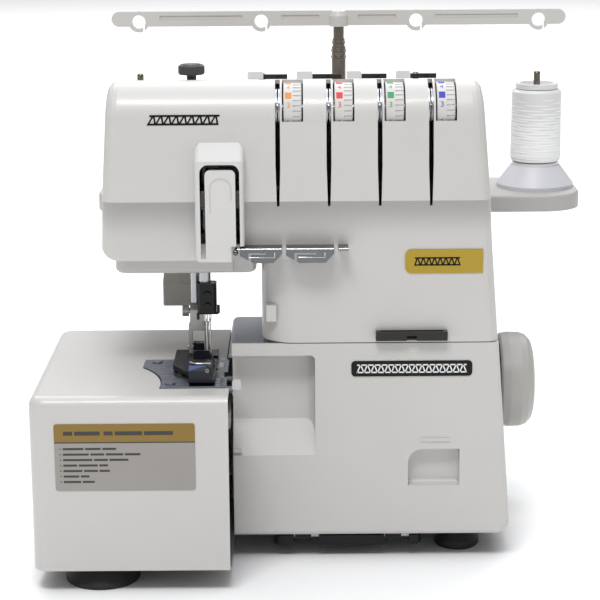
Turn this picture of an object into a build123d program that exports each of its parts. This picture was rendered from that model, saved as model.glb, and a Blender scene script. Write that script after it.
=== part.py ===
"""Home serger (overlock) machine: casings, drive, stitching tools, dials and thread stand as separate solids.

Working frame while modelling, in millimetres: x runs to the machine's right, y to its back, z up.
x = 0 is a datum plane a little left of the casing's middle, y = 0 is the front plane of the looper cover,
z = 0 is the table. export_parts() moves everything so that the origin is at the middle of the base.
"""
from build123d import *
import math
import os

# ---------------------------------------------------------------- driving dimensions
WALL = 2.5                      # moulded wall of every casing
SEAM = 0.6                      # gap between two casings
RUN = 0.08                      # radial clearance of a shaft in its bush
SLIP = 0.3                      # gap kept between moving neighbours

BASE_GAP = 14.0                 # table to the underside of the base plate
BASE_THICK = 5.0
BED_TOP = 120.0                 # sewing surface above the table
COVER_SEAM = 139.0              # height where the looper cover meets the front cover
HEAD_UNDER_FRONT = 190.0        # underside of the head's front shell
HEAD_UNDER_REAR = 180.0         # underside of the head's rear shell
HEAD_TOP = 295.5                # crest of the head

COLUMN_LEFT = -25.0
HEAD_LEFT = -121.0
HEAD_LEFT_DRAFT = 0.055         # the head's left side leans in by this much per mm of height
BODY_RIGHT = 127.0              # right side at the foot of the casing
BODY_DRAFT = 0.0735             # the right side leans in by this much per mm of height
SPLIT_Y = 45.0                  # front and rear covers meet here
BODY_BACK = 129.0

CREASE_OUT = 8.0                # how far the crease stands in front of the column
CREASE_Z = 227.0
LEAN_BACK = 5.5                 # how far the face above the crease leans back
SHOULDER_R = 22.7               # rounding from the face to the top
TOP_FALL = 0.125                # the top falls away to the back by this much per mm

SLEEVE_LEFT = -160.5
SLEEVE_RIGHT = -44.0
SLEEVE_FRONT = -51.5
SLEEVE_BACK = 113.0
SLEEVE_TRAVEL = 125.0

COVER_LEFT = -43.2              # looper cover
COVER_SKIRT = 20.0
COVER_HINGE_Y = 10.0
COVER_HINGE_Z = 13.4
COVER_PIN_R = 2.0
COVER_TRAVEL = 4.0              # the cover slides right before it swings down

NEEDLE_X = -58.0                # middle of the two needles
NEEDLE_PITCH = 2.2
NEEDLE_BAR_X = -59.5
NEEDLE_BAR_R = 3.4
NEEDLE_Y = 22.0
NEEDLE_TIP_Z = 121.5
NEEDLE_CLAMP_Z = (154.0, 172.0)
PRESSER_X = -66.0
PRESSER_Y = 35.0
PRESSER_BAR_R = 3.0
KNOB_R = 7.6

PLATE_TOP = BED_TOP + 1.0
PLATE_THICK = 2.0
PLATE_FRONT = -31.0
PLATE_BACK = 30.0
PLATE_LEFT = -97.5
PLATE_RIGHT = -45.8
CUT_LINE_X = -50.6              # plane where the two knives pass

SHAFT_Y = 62.0                  # main shaft
SHAFT_Z = 98.0
SHAFT_R = 6.0
WHEEL_R = 30.2
WHEEL_LEFT = BODY_RIGHT - 3.2
WHEEL_WIDTH = 22.0
PULLEY_X = (108.4, 115.2)
PULLEY_R = 27.0
MOTOR_Y = 93.0
MOTOR_Z = 47.0
MOTOR_R = 24.0
MOTOR_X = (22.0, 96.0)
MOTOR_PULLEY_R = 6.75
BELT_THICK = 1.6
BELT_GAP = 0.15

DIAL_COUNT = 4
DIAL_PITCH = 30.0
SLOT_LEFT = -15.6               # left side of the first thread slot
SLOT_WIDTH = 2.8
SLOT_FOOT_WIDTH = 1.5
SLOT_FOOT_Z = 223.5
WINDOW_WIDTH = 12.4
DIAL_WIDTH = 10.6
DIAL_PROUD = 0.9                # how far a dial stands out of its window

GUARD_X = (-63.0, -34.0)        # raised take-up guard on the front cover
GUARD_FACE_Y = -16.0
GUARD_SHOULDER_Z = 252.0
GUARD_TOP_Z = 263.0
TONGUE_X = (-56.8, -39.0)
LEG_WIDTH = 3.0
FACE_PIN_X = -39.4              # ball-ended thread pin below the guard

STAND_X = (-137.0, 186.0)       # thread stand
STAND_Y = (BODY_BACK + 2.0, BODY_BACK + 75.0)
STAND_TOP = 204.0
STAND_THICK = 11.0
STAND_CORNER_R = 26.0
POLE_X = 25.0
POLE_Y = BODY_BACK + 39.5
PIN_OFFSETS = (-133.0, -51.5, 51.5, 133.0)
PIN_R = 2.2
PIN_SHANK_R = 2.7
PIN_TOP = 282.0
DISC_R = 25.8
DISC_HEIGHT = 15.0
SPOOL_LOW = STAND_TOP + DISC_HEIGHT
SPOOL_X = POLE_X + PIN_OFFSETS[3]
SPOOL_R = 16.8
SPOOL_HEIGHT = 57.0
GUIDE_BAR_Z = 318.2
GUIDE_BAR_HALF = 151.0
GUIDE_BAR_HEIGHT = 9.8
GUIDE_BAR_THICK = 4.0
EYE_R = 4.5
EYE_RING_R = 6.9
EYE_DROP = 1.8                  # eye centre below the bar's middle
TUBE_OUTER_R = 4.7
TUBE_MID_R = TUBE_OUTER_R - 0.6
TUBE_TOP_R = TUBE_MID_R - 0.6
TUBE_OUTER_TOP = 299.0
TUBE_MID_TOP = 304.4
TUBE_TRAVEL = 75.0

FOOT_FRONT_LEFT = (-122.0, -25.0, 22.5)     # x, y, radius
FEET_REST = ((-122.0, 92.0, 14.0), (96.0, 29.0, 14.0), (96.0, 108.0, 14.0))


# ---------------------------------------------------------------- small helpers
def block(x0, x1, y0, y1, z0, z1):
    """A box between two corners."""
    return Pos((x0 + x1) / 2, (y0 + y1) / 2, (z0 + z1) / 2) * Box(abs(x1 - x0), abs(y1 - y0), abs(z1 - z0))


def rod_x(x0, x1, y, z, radius):
    return Pos((x0 + x1) / 2, y, z) * Rot(0, 90, 0) * Cylinder(radius, x1 - x0)


def rod_y(y0, y1, x, z, radius):
    return Pos(x, (y0 + y1) / 2, z) * Rot(90, 0, 0) * Cylinder(radius, y1 - y0)


def rod_z(z0, z1, x, y, radius):
    return Pos(x, y, (z0 + z1) / 2) * Cylinder(radius, z1 - z0)


def plate_xz(points, y0, y1):
    """A flat outline in the x-z plane, from y0 back to y1."""
    face = make_face(Plane.XZ * Polyline(*points, close=True))
    return Pos(0, y0, 0) * extrude(face, amount=y1 - y0, dir=(0, 1, 0))


def plate_yz(points, x0, x1):
    """A flat outline in the y-z plane, from x0 to x1."""
    face = make_face(Plane.YZ * Polyline(*points, close=True))
    return Pos(x0, 0, 0) * extrude(face, amount=x1 - x0, dir=(1, 0, 0))


def plate_xy(points, z0, z1):
    """A flat outline in the x-y plane, from z0 up to z1."""
    face = make_face(Polyline(*points, close=True))
    return Pos(0, 0, z0) * extrude(face, amount=z1 - z0, dir=(0, 0, 1))


def turned(points, axis_x, axis_y):
    """A solid turned about a vertical axis from (radius, height) points."""
    face = make_face(Plane.XZ * Polyline(*points, close=True))
    return Pos(axis_x, axis_y, 0) * revolve(face, Axis.Z)


def turned_x(points, y, z):
    """A solid turned about an axis along x from (x, radius) points."""
    face = make_face(Plane.XZ * Polyline(*points, close=True))
    return Pos(0, y, z) * revolve(face, Axis.X)


def right_side(z):
    """x of the casing's right side at a height."""
    return BODY_RIGHT - BODY_DRAFT * (z - BASE_GAP)


def head_left(z):
    """x of the head's left side at a height."""
    return HEAD_LEFT + HEAD_LEFT_DRAFT * max(z - HEAD_UNDER_REAR, 0)


def edges_near(shape, test):
    """The edges whose middle passes the test."""
    return [e for e in shape.edges() if test(e.position_at(0.5))]


# ---------------------------------------------------------------- upper casing
SHOULDER_Y = -CREASE_OUT + LEAN_BACK + SHOULDER_R       # middle of the rounding over the front edge
SHOULDER_Z = HEAD_TOP - SHOULDER_R


def top_z(y):
    """Height of the casing's top behind the crest."""
    return HEAD_TOP - TOP_FALL * max(y - SHOULDER_Y, 0)


def profile_face(inset, side_x, lean_in):
    """Side view of the upper casing, drawn on a plane that leans with the casing's side."""
    front = inset
    crease = inset - CREASE_OUT
    lean = crease + LEAN_BACK
    diag = (SHOULDER_R - inset) * math.sqrt(0.5)
    back = BODY_BACK - inset
    base = HEAD_UNDER_REAR
    foot = (front, 100 - base)
    knee = (front, 192 - base)
    fold = (crease, CREASE_Z - base)
    shoulder = (lean, SHOULDER_Z - base)
    shoulder_mid = (SHOULDER_Y - diag, SHOULDER_Z + diag - base)
    crest = (SHOULDER_Y, HEAD_TOP - inset - base)
    rear_top = (back, top_z(back) - inset - base)
    rear_foot = (back, 100 - base)
    lines = [
        Line(foot, knee),
        ThreePointArc(knee, (front - 2.6, 211 - base), fold),
        Line(fold, shoulder),
        ThreePointArc(shoulder, shoulder_mid, crest),
        Line(crest, rear_top),
        Line(rear_top, rear_foot),
        Line(rear_foot, foot),
    ]
    angle = math.atan(lean_in)
    plane = Plane(origin=(side_x, 0, base), x_dir=(0, 1, 0), z_dir=(math.cos(angle), 0, -math.sin(angle)))
    return plane * make_face(Curve(children=lines))


SIDE_ROUND = 7.0
SIDE_STEPS = 4


def upper_lump(inset):
    """The upper casing from side to side, with both ends rounded over."""
    r = SIDE_ROUND - inset
    left, right = HEAD_LEFT + inset, right_side(HEAD_UNDER_REAR) - inset
    ends = []
    for i in range(SIDE_STEPS + 1):
        turn = math.radians(90 * i / SIDE_STEPS)
        ends.append((r * (1 - math.sin(turn)), inset + r * (1 - math.cos(turn))))
    faces = [profile_face(grow, left + step, HEAD_LEFT_DRAFT) for step, grow in reversed(ends)]
    faces += [profile_face(grow, right - step, -BODY_DRAFT) for step, grow in ends]
    return loft(faces, ruled=True)


def head_space(inset):
    """Everything above the head's underside, with its rounded lower left edge."""
    solid = block(HEAD_LEFT + inset, BODY_RIGHT + 30, -40, BODY_BACK + 30, HEAD_UNDER_FRONT + inset, 320)
    low_left = (HEAD_LEFT + inset + 0.1, HEAD_UNDER_FRONT + inset + 0.1)
    corner = edges_near(solid, lambda p: p.X < low_left[0] and p.Z < low_left[1])
    return fillet(corner, 12 - inset)


def column_space(inset):
    """The column below the head, with its well rounded left front corner."""
    solid = block(COLUMN_LEFT + inset, BODY_RIGHT + 30, inset, BODY_BACK - inset, 110, 200)
    corner = edges_near(solid, lambda p: abs(p.X - COLUMN_LEFT - inset) < 0.1 and abs(p.Y - inset) < 0.1)
    return fillet(corner, 20 - inset)


def upper_body(inset):
    """The upper casing as one lump, shrunk by the inset on every side."""
    return upper_lump(inset) & (head_space(inset) + column_space(inset))


def make_upper_covers():
    outer = upper_body(0)
    shell = outer - upper_body(WALL)
    shell = shell - block(-60, BODY_RIGHT + 30, -40, BODY_BACK + 30, 90, COVER_SEAM)
    sole = block(-110, -31, 12, BODY_BACK - 8, HEAD_UNDER_FRONT - 5, HEAD_UNDER_FRONT + WALL + 1)
    column_top = block(COLUMN_LEFT + WALL, right_side(190) - WALL, 22, BODY_BACK - WALL, 170, 200)
    shell = shell - sole - column_top
    front = shell & block(-200, BODY_RIGHT + 30, -60, SPLIT_Y, 90, 320)
    rear = shell & block(-200, BODY_RIGHT + 30, SPLIT_Y + SEAM, BODY_BACK + 30, 90, 320)
    return front, rear


def dial_left(index):
    """x of the left side of a dial window."""
    return SLOT_LEFT + SLOT_WIDTH + 1.2 + index * DIAL_PITCH


def slot_cut(index):
    """The thread slot beside a dial: narrow foot, then wider, running over the crest."""
    x = SLOT_LEFT + index * DIAL_PITCH
    narrow = (SLOT_WIDTH - SLOT_FOOT_WIDTH) / 2
    points = [
        (x + narrow, SLOT_FOOT_Z),
        (x + SLOT_WIDTH - narrow, SLOT_FOOT_Z),
        (x + SLOT_WIDTH, SLOT_FOOT_Z + 24),
        (x + SLOT_WIDTH, 310),
        (x, 310),
        (x, SLOT_FOOT_Z + 24),
    ]
    return plate_xz(points, -30, 38)


DIAL_R = 15.0
DIAL_SHIFT = SHOULDER_R + DIAL_PROUD - DIAL_R
DIAL_Y = SHOULDER_Y - DIAL_SHIFT * math.sqrt(0.5)
DIAL_Z = SHOULDER_Z + DIAL_SHIFT * math.sqrt(0.5)
AXLE_R = 2.5
CHASSIS_TOP = 262.0
PLATE_LEFT_X = (-22.0, -16.0)
PLATE_RIGHT_X = (98.0, 104.0)


def make_front_cover(front):
    for i in range(DIAL_COUNT):
        x = dial_left(i)
        front = front - slot_cut(i)
        front = front - block(x, x + WINDOW_WIDTH, -30, SHOULDER_Y + 4, SHOULDER_Z + 0.2, 330)
    front = front - block(GUARD_X[0] + 2.2, GUARD_X[1] - 2.2, -30, 12, 200, GUARD_SHOULDER_Z - 4)
    front = front - rod_z(280, 310, PRESSER_X, PRESSER_Y, 3.6)
    for x in (PLATE_LEFT_X[0], PLATE_RIGHT_X[0]):
        front = front + block(x, x + 6, 1, 20, 152, 162)
    front = front + block(-104, -94, -6.4, 66, 232, 240)
    return front


def make_rear_cover(rear):
    slot = block(-79, -68, 74, 124, HEAD_UNDER_FRONT - 6, HEAD_UNDER_FRONT + 6)
    rear = rear - slot
    for x in (PLATE_LEFT_X[0], PLATE_RIGHT_X[0]):
        rear = rear + block(x, x + 6, 118, BODY_BACK - 1, 150, 162)
    rear = rear + block(-104, -94, 72, BODY_BACK - 1, 232, 240)
    return rear


def make_head_sole():
    """The lower pan of the head, with openings for the bars, the lifter and the lamp."""
    pan = block(-113, -28, 9, BODY_BACK - 5, HEAD_UNDER_REAR, HEAD_UNDER_FRONT)
    upright = pan.edges().filter_by(Axis.Z)
    pan = fillet(upright, 7)
    under = edges_near(pan, lambda p: abs(p.Z - HEAD_UNDER_REAR) < 0.1)
    pan = fillet(under, 3)
    pan = pan - block(-110.5, -30.5, 11.5, BODY_BACK - 7.5, HEAD_UNDER_REAR + WALL, 200)
    pan = pan - block(NEEDLE_BAR_X - 6.6, NEEDLE_BAR_X + 8.4, NEEDLE_Y - 8.5, NEEDLE_Y + 8, 170, 200)
    pan = pan - rod_z(170, 200, PRESSER_X, PRESSER_Y, 4.2)
    pan = pan - block(-79, -68, 72, 121, 170, 200)
    pan = pan - block(-106, -84, 22, 40, 170, 200)
    pan = pan - block(-42, -30, 0, 11, 170, 200)
    return pan


# ---------------------------------------------------------------- take-up guard
def arched(x0, x1, y0, y1, z0, z1, radius):
    """A block whose two upper corners, seen from the front, are rounded."""
    solid = block(x0, x1, y0, y1, z0, z1)
    corners = [e for e in solid.edges().filter_by(Axis.Y) if e.position_at(0.5).Z > z1 - 0.1]
    return fillet(corners, radius)


def make_guard():
    x0, x1 = GUARD_X
    side = [
        (-2, GUARD_TOP_Z),
        (GUARD_FACE_Y + 1, GUARD_SHOULDER_Z),
        (GUARD_FACE_Y, 240),
        (GUARD_FACE_Y + 2, HEAD_UNDER_FRONT + 2),
        (8, HEAD_UNDER_FRONT + 2),
        (8, GUARD_TOP_Z),
    ]
    solid = plate_yz(side, x0, x1)
    corners = edges_near(solid, lambda p: p.Y < -2 and (p.X < x0 + 0.1 or p.X > x1 - 0.1))
    solid = fillet(corners, 3)
    hollow = [
        (-2, GUARD_TOP_Z - 4),
        (GUARD_FACE_Y + 3.5, GUARD_SHOULDER_Z - 2),
        (GUARD_FACE_Y + 2.5, 240),
        (GUARD_FACE_Y + 4.5, HEAD_UNDER_FRONT - 2),
        (20, HEAD_UNDER_FRONT - 2),
        (20, GUARD_TOP_Z - 4),
    ]
    solid = solid - plate_yz(hollow, x0 + WALL, x1 - WALL)
    t0, t1 = TONGUE_X
    top = GUARD_SHOULDER_Z - 2
    slot = arched(t0 - LEG_WIDTH, t1 + LEG_WIDTH - 0.6, -30, -9, 194, top, 5)
    slot = slot - arched(t0, t1, -30, -9, 190, top - 3.2, 3) - block(t1, 0, -30, -9, 190, 201)
    solid = solid - slot
    solid = solid - block(FACE_PIN_X - 2.4, 0, -30, 20, 150, 201.4)
    return (solid & arched(x0, x1, -40, 60, 150, GUARD_TOP_Z, 8)) - upper_body(0)


# ---------------------------------------------------------------- bed, sleeve and lower casing
def plate_outline(grow):
    """Outline of the needle plate in the x-y plane, grown by a gap."""
    lines = [
        Line((PLATE_RIGHT, PLATE_FRONT), (-84.7, PLATE_FRONT)),
        ThreePointArc((-84.7, PLATE_FRONT), (-87.5, -4), (PLATE_LEFT, 14)),
        Line((PLATE_LEFT, 14), (PLATE_LEFT, PLATE_BACK)),
        Line((PLATE_LEFT, PLATE_BACK), (PLATE_RIGHT, PLATE_BACK)),
        Line((PLATE_RIGHT, PLATE_BACK), (PLATE_RIGHT, PLATE_FRONT)),
    ]
    face = make_face(Curve(children=lines))
    if grow:
        face = offset(face, amount=grow)
    return face


def make_sleeve():
    x0, x1 = SLEEVE_LEFT, SLEEVE_RIGHT
    solid = block(x0, x1, SLEEVE_FRONT, SLEEVE_BACK, BASE_GAP, BED_TOP)
    left = edges_near(solid, lambda p: p.X < x0 + 0.1 and abs(p.Z - 67) < 1)
    solid = fillet(left, 9)
    low = edges_near(solid, lambda p: abs(p.Z - BED_TOP) < 0.1 and p.X < x1 - 1)
    solid = fillet(low, 6)
    solid = solid - block(x1 - 3.6, x1 + 5, PLATE_BACK + SEAM, 200, 0, 200)
    inner = block(x0 + WALL, x1 + 5, SLEEVE_FRONT + WALL, SLEEVE_BACK - WALL, 0, BED_TOP - WALL)
    inner_left = edges_near(inner, lambda p: p.X < x0 + WALL + 0.1 and abs(p.Z - 58.75) < 1)
    inner = fillet(inner_left, 6.5)
    solid = solid - inner
    window = Pos(0, 0, 100) * extrude(plate_outline(SEAM), amount=40, dir=(0, 0, 1))
    return solid - window - block(-70, x1 + 5, PLATE_FRONT - SEAM, PLATE_BACK + SEAM, 100, 140)


PLATE_SCREWS = ((-90.0, 24.5), (-79.0, -24.0))
FEED_ROWS = ((-76.0, -73.4), (-70.4, -67.8))
FEED_REAR_Y = (9.0, 25.0)
FEED_FRONT_Y = (-9.0, 5.0)
FEED_TRAVEL = 1.5
KNIFE_Y = (-6.0, 6.0)
KNIFE_SWEEP = 7.0               # the upper knife's tip moves this far forward as it cuts
NEEDLE_HOLE_HALF = (3.2, 2.4)


def make_needle_plate():
    plate = Pos(0, 0, PLATE_TOP - PLATE_THICK) * extrude(plate_outline(0), amount=PLATE_THICK, dir=(0, 0, 1))
    for x0, x1 in FEED_ROWS:
        for y0, y1 in (FEED_REAR_Y, FEED_FRONT_Y):
            reach = FEED_TRAVEL + 0.3
            plate = plate - block(x0 - 0.4, x1 + 0.4, y0 - reach, y1 + reach, 110, 130)
    hx, hy = NEEDLE_HOLE_HALF
    plate = plate - block(NEEDLE_X - hx, NEEDLE_X + hx, NEEDLE_Y - hy, NEEDLE_Y + hy, 110, 130)
    knife_front, knife_back = KNIFE_Y[0] - KNIFE_SWEEP, KNIFE_Y[1] + 1.5
    plate = plate - block(CUT_LINE_X - 3, PLATE_RIGHT + 5, knife_front, knife_back, 110, 130)
    for x, y in PLATE_SCREWS:
        plate = plate - rod_z(110, 130, x, y, 2.1)
    return plate



def make_plate_screws():
    screws = Part()
    for x, y in PLATE_SCREWS:
        screws += rod_z(110, PLATE_TOP - 0.6, x, y, 1.9)
        head = rod_z(PLATE_TOP, PLATE_TOP + 0.7, x, y, 3.2)
        screws += head - block(x - 4, x + 4, y - 0.4, y + 0.4, PLATE_TOP + 0.3, PLATE_TOP + 2)
        screws += rod_z(PLATE_TOP - 0.7, PLATE_TOP + 0.1, x, y, 1.9)
    return screws


def make_arm():
    """Free arm casting that carries the needle plate."""
    top = BED_TOP - WALL - 0.7
    solid = block(-150, PLATE_LEFT_X[0], -30, 104, 66, top)
    solid = solid - block(-52, -10, -40, 56, 50, 130)
    solid = solid - block(-147, -52, -27, 101, 50, top - 3)
    solid = solid - block(-56, PLATE_LEFT_X[0] - 3, 59, 101, 50, top - 3)
    solid = solid + block(-96, -54, PLATE_FRONT + 2, PLATE_BACK - 1, top, PLATE_TOP - PLATE_THICK)
    solid = solid - block(-80, -50, -14, 27, 100, 130)
    solid = solid & block(-151, -10, -40, 200, 50, 119) - block(-97, -84.4, -40, 15, top, 130)
    for x, y in PLATE_SCREWS:
        solid = solid + rod_z(106, top, x, y, 5)
        solid = solid - rod_z(109.9, 130, x, y, 2.0)
    return solid


def make_base_plate():
    left = block(-155, -30, -46, 108, BASE_GAP, BASE_GAP + BASE_THICK)
    top = BASE_GAP + BASE_THICK
    right_x, back_y = right_side(top) - WALL - 0.3, BODY_BACK - WALL - 0.3
    right = block(-40, right_x, COVER_SKIRT + SEAM, back_y, BASE_GAP, top)
    plate = left + right
    plate = plate - block(-43.6, -25, -60, COVER_SKIRT + SEAM, 0, 50)
    for x in range(-10, 91, 12):
        plate = plate - block(x, x + 4, 84, 112, 0, 50)
    for x in (-140, -60):
        plate = plate - block(x - 4, x + 4, 20, 60, 0, 50)
    return plate


def make_side_cover():
    """Right and back walls of the lower casing."""
    z0, z1 = BASE_GAP, COVER_SEAM - SEAM
    cover = side_wall()
    back = [(-46.4, z0), (-46.4, BED_TOP), (COLUMN_LEFT, BED_TOP), (COLUMN_LEFT, z1),
            (right_side(z1) - 1, z1), (right_side(z0) - 1, z0)]
    cover = cover + plate_xz(back, BODY_BACK - WALL, BODY_BACK)
    cover = cover - rod_x(BODY_RIGHT - 20, BODY_RIGHT + 10, SHAFT_Y, SHAFT_Z, SHAFT_R + 1.5)
    cover = cover - panel_hole(INLET[0], INLET[1], 9.0, 8.0) - panel_hole(SWITCH[0], SWITCH[1], 7.6, 7.6)
    cover = cover - rod_x(BODY_RIGHT - 20, BODY_RIGHT + 10, DIAL_SPOT[0], DIAL_SPOT[1], 3.6)
    y, z = LEVER_SPOT
    cover = cover - panel_hole(y, z + LEVER_TRAVEL / 2, 2.4, LEVER_TRAVEL / 2 + 2.4)
    for z in range(76, 116, 8):
        cover = cover - block(30, 84, BODY_BACK - 5, BODY_BACK + 5, z, z + 3)
    for x in (-36.0, 40.0):
        cover = cover + block(x, x + 8, BODY_BACK - WALL - 9, BODY_BACK - WALL, BASE_GAP + BASE_THICK, 34)
    return cover


def make_bed_cover():
    """Fixed skin between the sleeve and the column."""
    top = BED_TOP + 4
    back_y = BODY_BACK - WALL - 0.3
    cover = block(-47, PLATE_LEFT_X[0], 31, back_y, BASE_GAP + BASE_THICK, top)
    cover = fillet(edges_near(cover, lambda p: p.X < -46.9 and abs(p.Z - top) < 0.1), 4)
    cover = cover - block(-44.5, -10, 20, BODY_BACK + 10, 0, top - WALL)
    cover = cover - block(-50, -40, 20, 62, 0, top - WALL)
    cover = cover - block(-50, -40, 62, BODY_BACK - 17, 20, 118.2)
    riser = block(COLUMN_LEFT + 0.5, PLATE_LEFT_X[0], 31, back_y, top - WALL, COVER_SEAM - SEAM)
    cover = cover + riser
    return cover


# ---------------------------------------------------------------- looper cover
POCKET_RIGHT = 7.0
POCKET_Z = (68.0, 131.0)
POCKET_DEPTH = 12.0
FINGER_X = (63.5, 95.0)
FINGER_Z = (48.0, 71.5)
LUG_X = ((-6.0, 4.0), (50.0, 60.0))
RAIL_X = (-19.0, 72.0)


def pocket_lump(grow):
    """The waste pocket of the looper cover, open to the left, grown by a wall."""
    z0, z1 = POCKET_Z[0] - grow, POCKET_Z[1] + grow
    deep = POCKET_DEPTH + grow
    side = [(-3, z0), (0, z0), (deep, z0 + 20), (deep, z1), (-3, z1)]
    lump = plate_yz(side, COVER_LEFT - 10, POCKET_RIGHT + grow)
    ends = edges_near(lump, lambda p: p.X > POCKET_RIGHT + grow - 0.1 and p.Y > deep - 0.1)
    lump = fillet(ends, 6 + grow)
    upper = edges_near(lump, lambda p: p.X > POCKET_RIGHT + grow - 1 and abs(p.Z - z1) < 0.1 and p.Y < 2)
    return lump if not upper else fillet(upper, 3 + grow)


def cover_lump(inset):
    z0 = 16.0 + inset
    z1 = COVER_SEAM - SEAM
    points = [
        (COVER_LEFT + inset, z0),
        (COVER_LEFT + inset, z1 + 5),
        (right_side(z1 + 5) - inset, z1 + 5),
        (right_side(z0) - inset, z0),
    ]
    lump = plate_xz(points, inset, COVER_SKIRT + 10)
    corner = edges_near(lump, lambda p: p.X > 100 and abs(p.Z - z0) < 0.1)
    lump = fillet(corner, 9 - inset)
    front_edges = edges_near(lump, lambda p: abs(p.Y - inset) < 0.1 and abs(p.Z - z1 - 5) > 1)
    rim = [e for e in front_edges if e.position_at(0.5).X > COVER_LEFT + inset + 1]
    lump = fillet(rim, 3.2 - inset)
    return lump & block(-100, 200, -20, COVER_SKIRT, 0, z1)


def make_looper_cover():
    solid = cover_lump(0) - (cover_lump(WALL) & block(-100, 200, -20, 60, 0, 200))
    solid = solid - block(COVER_LEFT - 1, COVER_LEFT + 40, 9, 60, 0, 60)
    solid = solid - block(COVER_LEFT - 1, right_side(16) - 10, 8.5, 60, 0, 30)
    solid = solid - block(RAIL_X[0] - COVER_TRAVEL - 2, RAIL_X[1] + 2, WALL, 60, 0, 19)
    solid = solid - block(COVER_LEFT - 5, COVER_LEFT + WALL + 1, WALL, 60, 60, 200)
    solid = solid - pocket_lump(0)
    tray = (pocket_lump(WALL) - pocket_lump(0)) & block(COVER_LEFT, 60, 0.2, 40, 0, COVER_SEAM - SEAM)
    solid = solid + tray
    recess = block(FINGER_X[0], FINGER_X[1], -5, 7, FINGER_Z[0], FINGER_Z[1])
    recess = fillet(edges_near(recess, lambda p: p.X < FINGER_X[0] + 0.1 and p.Z > FINGER_Z[1] - 0.1), 9)
    recess = fillet(edges_near(recess, lambda p: p.Y > 6.9), 3)
    cup = block(FINGER_X[0] - 2, FINGER_X[1] + 2, 1, 9.4, FINGER_Z[0] - 2, FINGER_Z[1] + 2)
    solid = solid + cup - recess
    ridge = block(FINGER_X[0] + 8, FINGER_X[1] - 6, -0.7, 0.5, FINGER_Z[1] + 5, FINGER_Z[1] + 7)
    solid = solid + ridge
    for x0, x1 in LUG_X:
        solid = solid + block(x0, x1, COVER_HINGE_Y - 3.5, COVER_HINGE_Y + 3.5, COVER_HINGE_Z, 18.5)
        solid = solid + rod_x(x0, x1, COVER_HINGE_Y, COVER_HINGE_Z, 3.5)
        solid = solid + block(x0, x1, WALL - 0.5, COVER_HINGE_Y, 16.2, 18.5)
        solid = solid - rod_x(x0 - 1, x1 + 1, COVER_HINGE_Y, COVER_HINGE_Z, COVER_PIN_R + RUN)
    return solid


def make_hinge_rail():
    rail = block(RAIL_X[0], RAIL_X[1], 5.6, 27, 7.8, BASE_GAP)
    rail = fillet(rail.edges().filter_by(Axis.Z), 5)
    for x0, x1 in LUG_X:
        rail = rail - block(x0 - 0.6, x1 + COVER_TRAVEL + 0.8, 0, 16, 5, 20)
    for x0, x1 in ((-10, -7.4), (65, 69)):
        rail = rail + block(x0, x1, COVER_HINGE_Y - 3.6, COVER_HINGE_Y + 3.6, 9.6, 15.7)
    rail = rail - rod_x(-18, 75, COVER_HINGE_Y, COVER_HINGE_Z, COVER_PIN_R + RUN)
    return rail


def make_hinge_pin():
    return rod_x(-16, 67, COVER_HINGE_Y, COVER_HINGE_Z, COVER_PIN_R)


# ---------------------------------------------------------------- chassis
LUG_LOW = (196.0, 204.0)
LUG_HIGH = (244.0, 252.0)
ROCKER_Y = 56.0
ROCKER_Z = 222.0
ROCKER_R = 4.0
TAKE_UP_Y = 8.0
TAKE_UP_Z = 229.0
LIFTER_Y = 80.0
LIFTER_Z = 200.0
LIFTER_PIN_R = 3.0
LOWER_LOOPER = (-30.0, 62.0)    # x, z of its pivot
UPPER_LOOPER = (-24.0 - 1.0, 47.0)
LOOPER_SHAFT_R = 2.5
KNIFE_PIVOT_Y = 43.0
KNIFE_PIVOT_Z = 93.0
KNIFE_PIVOT_R = 2.5
BUSH_WALL = 2.0


def make_chassis():
    lx0, lx1 = PLATE_LEFT_X
    rx0, rx1 = PLATE_RIGHT_X
    floor = BASE_GAP + BASE_THICK
    body = block(lx0, lx1, 20, 118, floor, CHASSIS_TOP) + block(rx0, rx1, 20, 118, floor, CHASSIS_TOP)
    body = body + block(lx0, rx1, 112, 118, 80, CHASSIS_TOP - 8)
    for x0, x1 in (PLATE_LEFT_X, PLATE_RIGHT_X):
        body = body + block(x0, x1, DIAL_Y - 6, 40, CHASSIS_TOP - 20, DIAL_Z + 5)
        body = body - block(x0 - 1, x1 + 1, 84, 106, 150, 240)
        body = body - rod_x(x0 - 1, x1 + 1, DIAL_Y, DIAL_Z, AXLE_R)
        body = body - rod_x(x0 - 1, x1 + 1, SHAFT_Y, SHAFT_Z, SHAFT_R + BUSH_WALL)
    body = body + block(-112, lx0, 66, 72, LUG_LOW[0], CHASSIS_TOP - 8)
    for z0, z1 in (LUG_LOW, LUG_HIGH):
        body = body + block(-76, -50, 12, 66, z0, z1)
    body = body + block(-30, lx0, 3, 66, 214, 236)
    body = body + block(-46, lx0, 50, 56, floor, 112)
    body = body + block(-92, -84, 72, 88, LIFTER_Z - 4, LIFTER_Z + 8)
    body = body - rod_z(180, 260, NEEDLE_BAR_X, NEEDLE_Y, NEEDLE_BAR_R + 1.6)
    body = body - rod_z(180, 240, PRESSER_X, PRESSER_Y, PRESSER_BAR_R + 1.6)
    body = body - rod_z(240, 260, PRESSER_X, PRESSER_Y, 2.9 + RUN)
    body = body - rod_x(-32, lx1 + 1, ROCKER_Y, ROCKER_Z, ROCKER_R + RUN)
    body = body - rod_x(-32, lx1 + 1, TAKE_UP_Y, TAKE_UP_Z, 2.5 + RUN)
    body = body + rod_x(-90, -68.5, LIFTER_Y, LIFTER_Z, LIFTER_PIN_R)
    for x, z in (LOWER_LOOPER, UPPER_LOOPER):
        body = body - rod_y(48, 58, x, z, LOOPER_SHAFT_R + RUN)
    body = body + rod_x(CUT_LINE_X + 0.2, lx0 + 1, KNIFE_PIVOT_Y, KNIFE_PIVOT_Z, KNIFE_PIVOT_R)
    return body - rod_x(rx0 - 1, rx1 + 1, MOTOR_Y, MOTOR_Z, 5)


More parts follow.
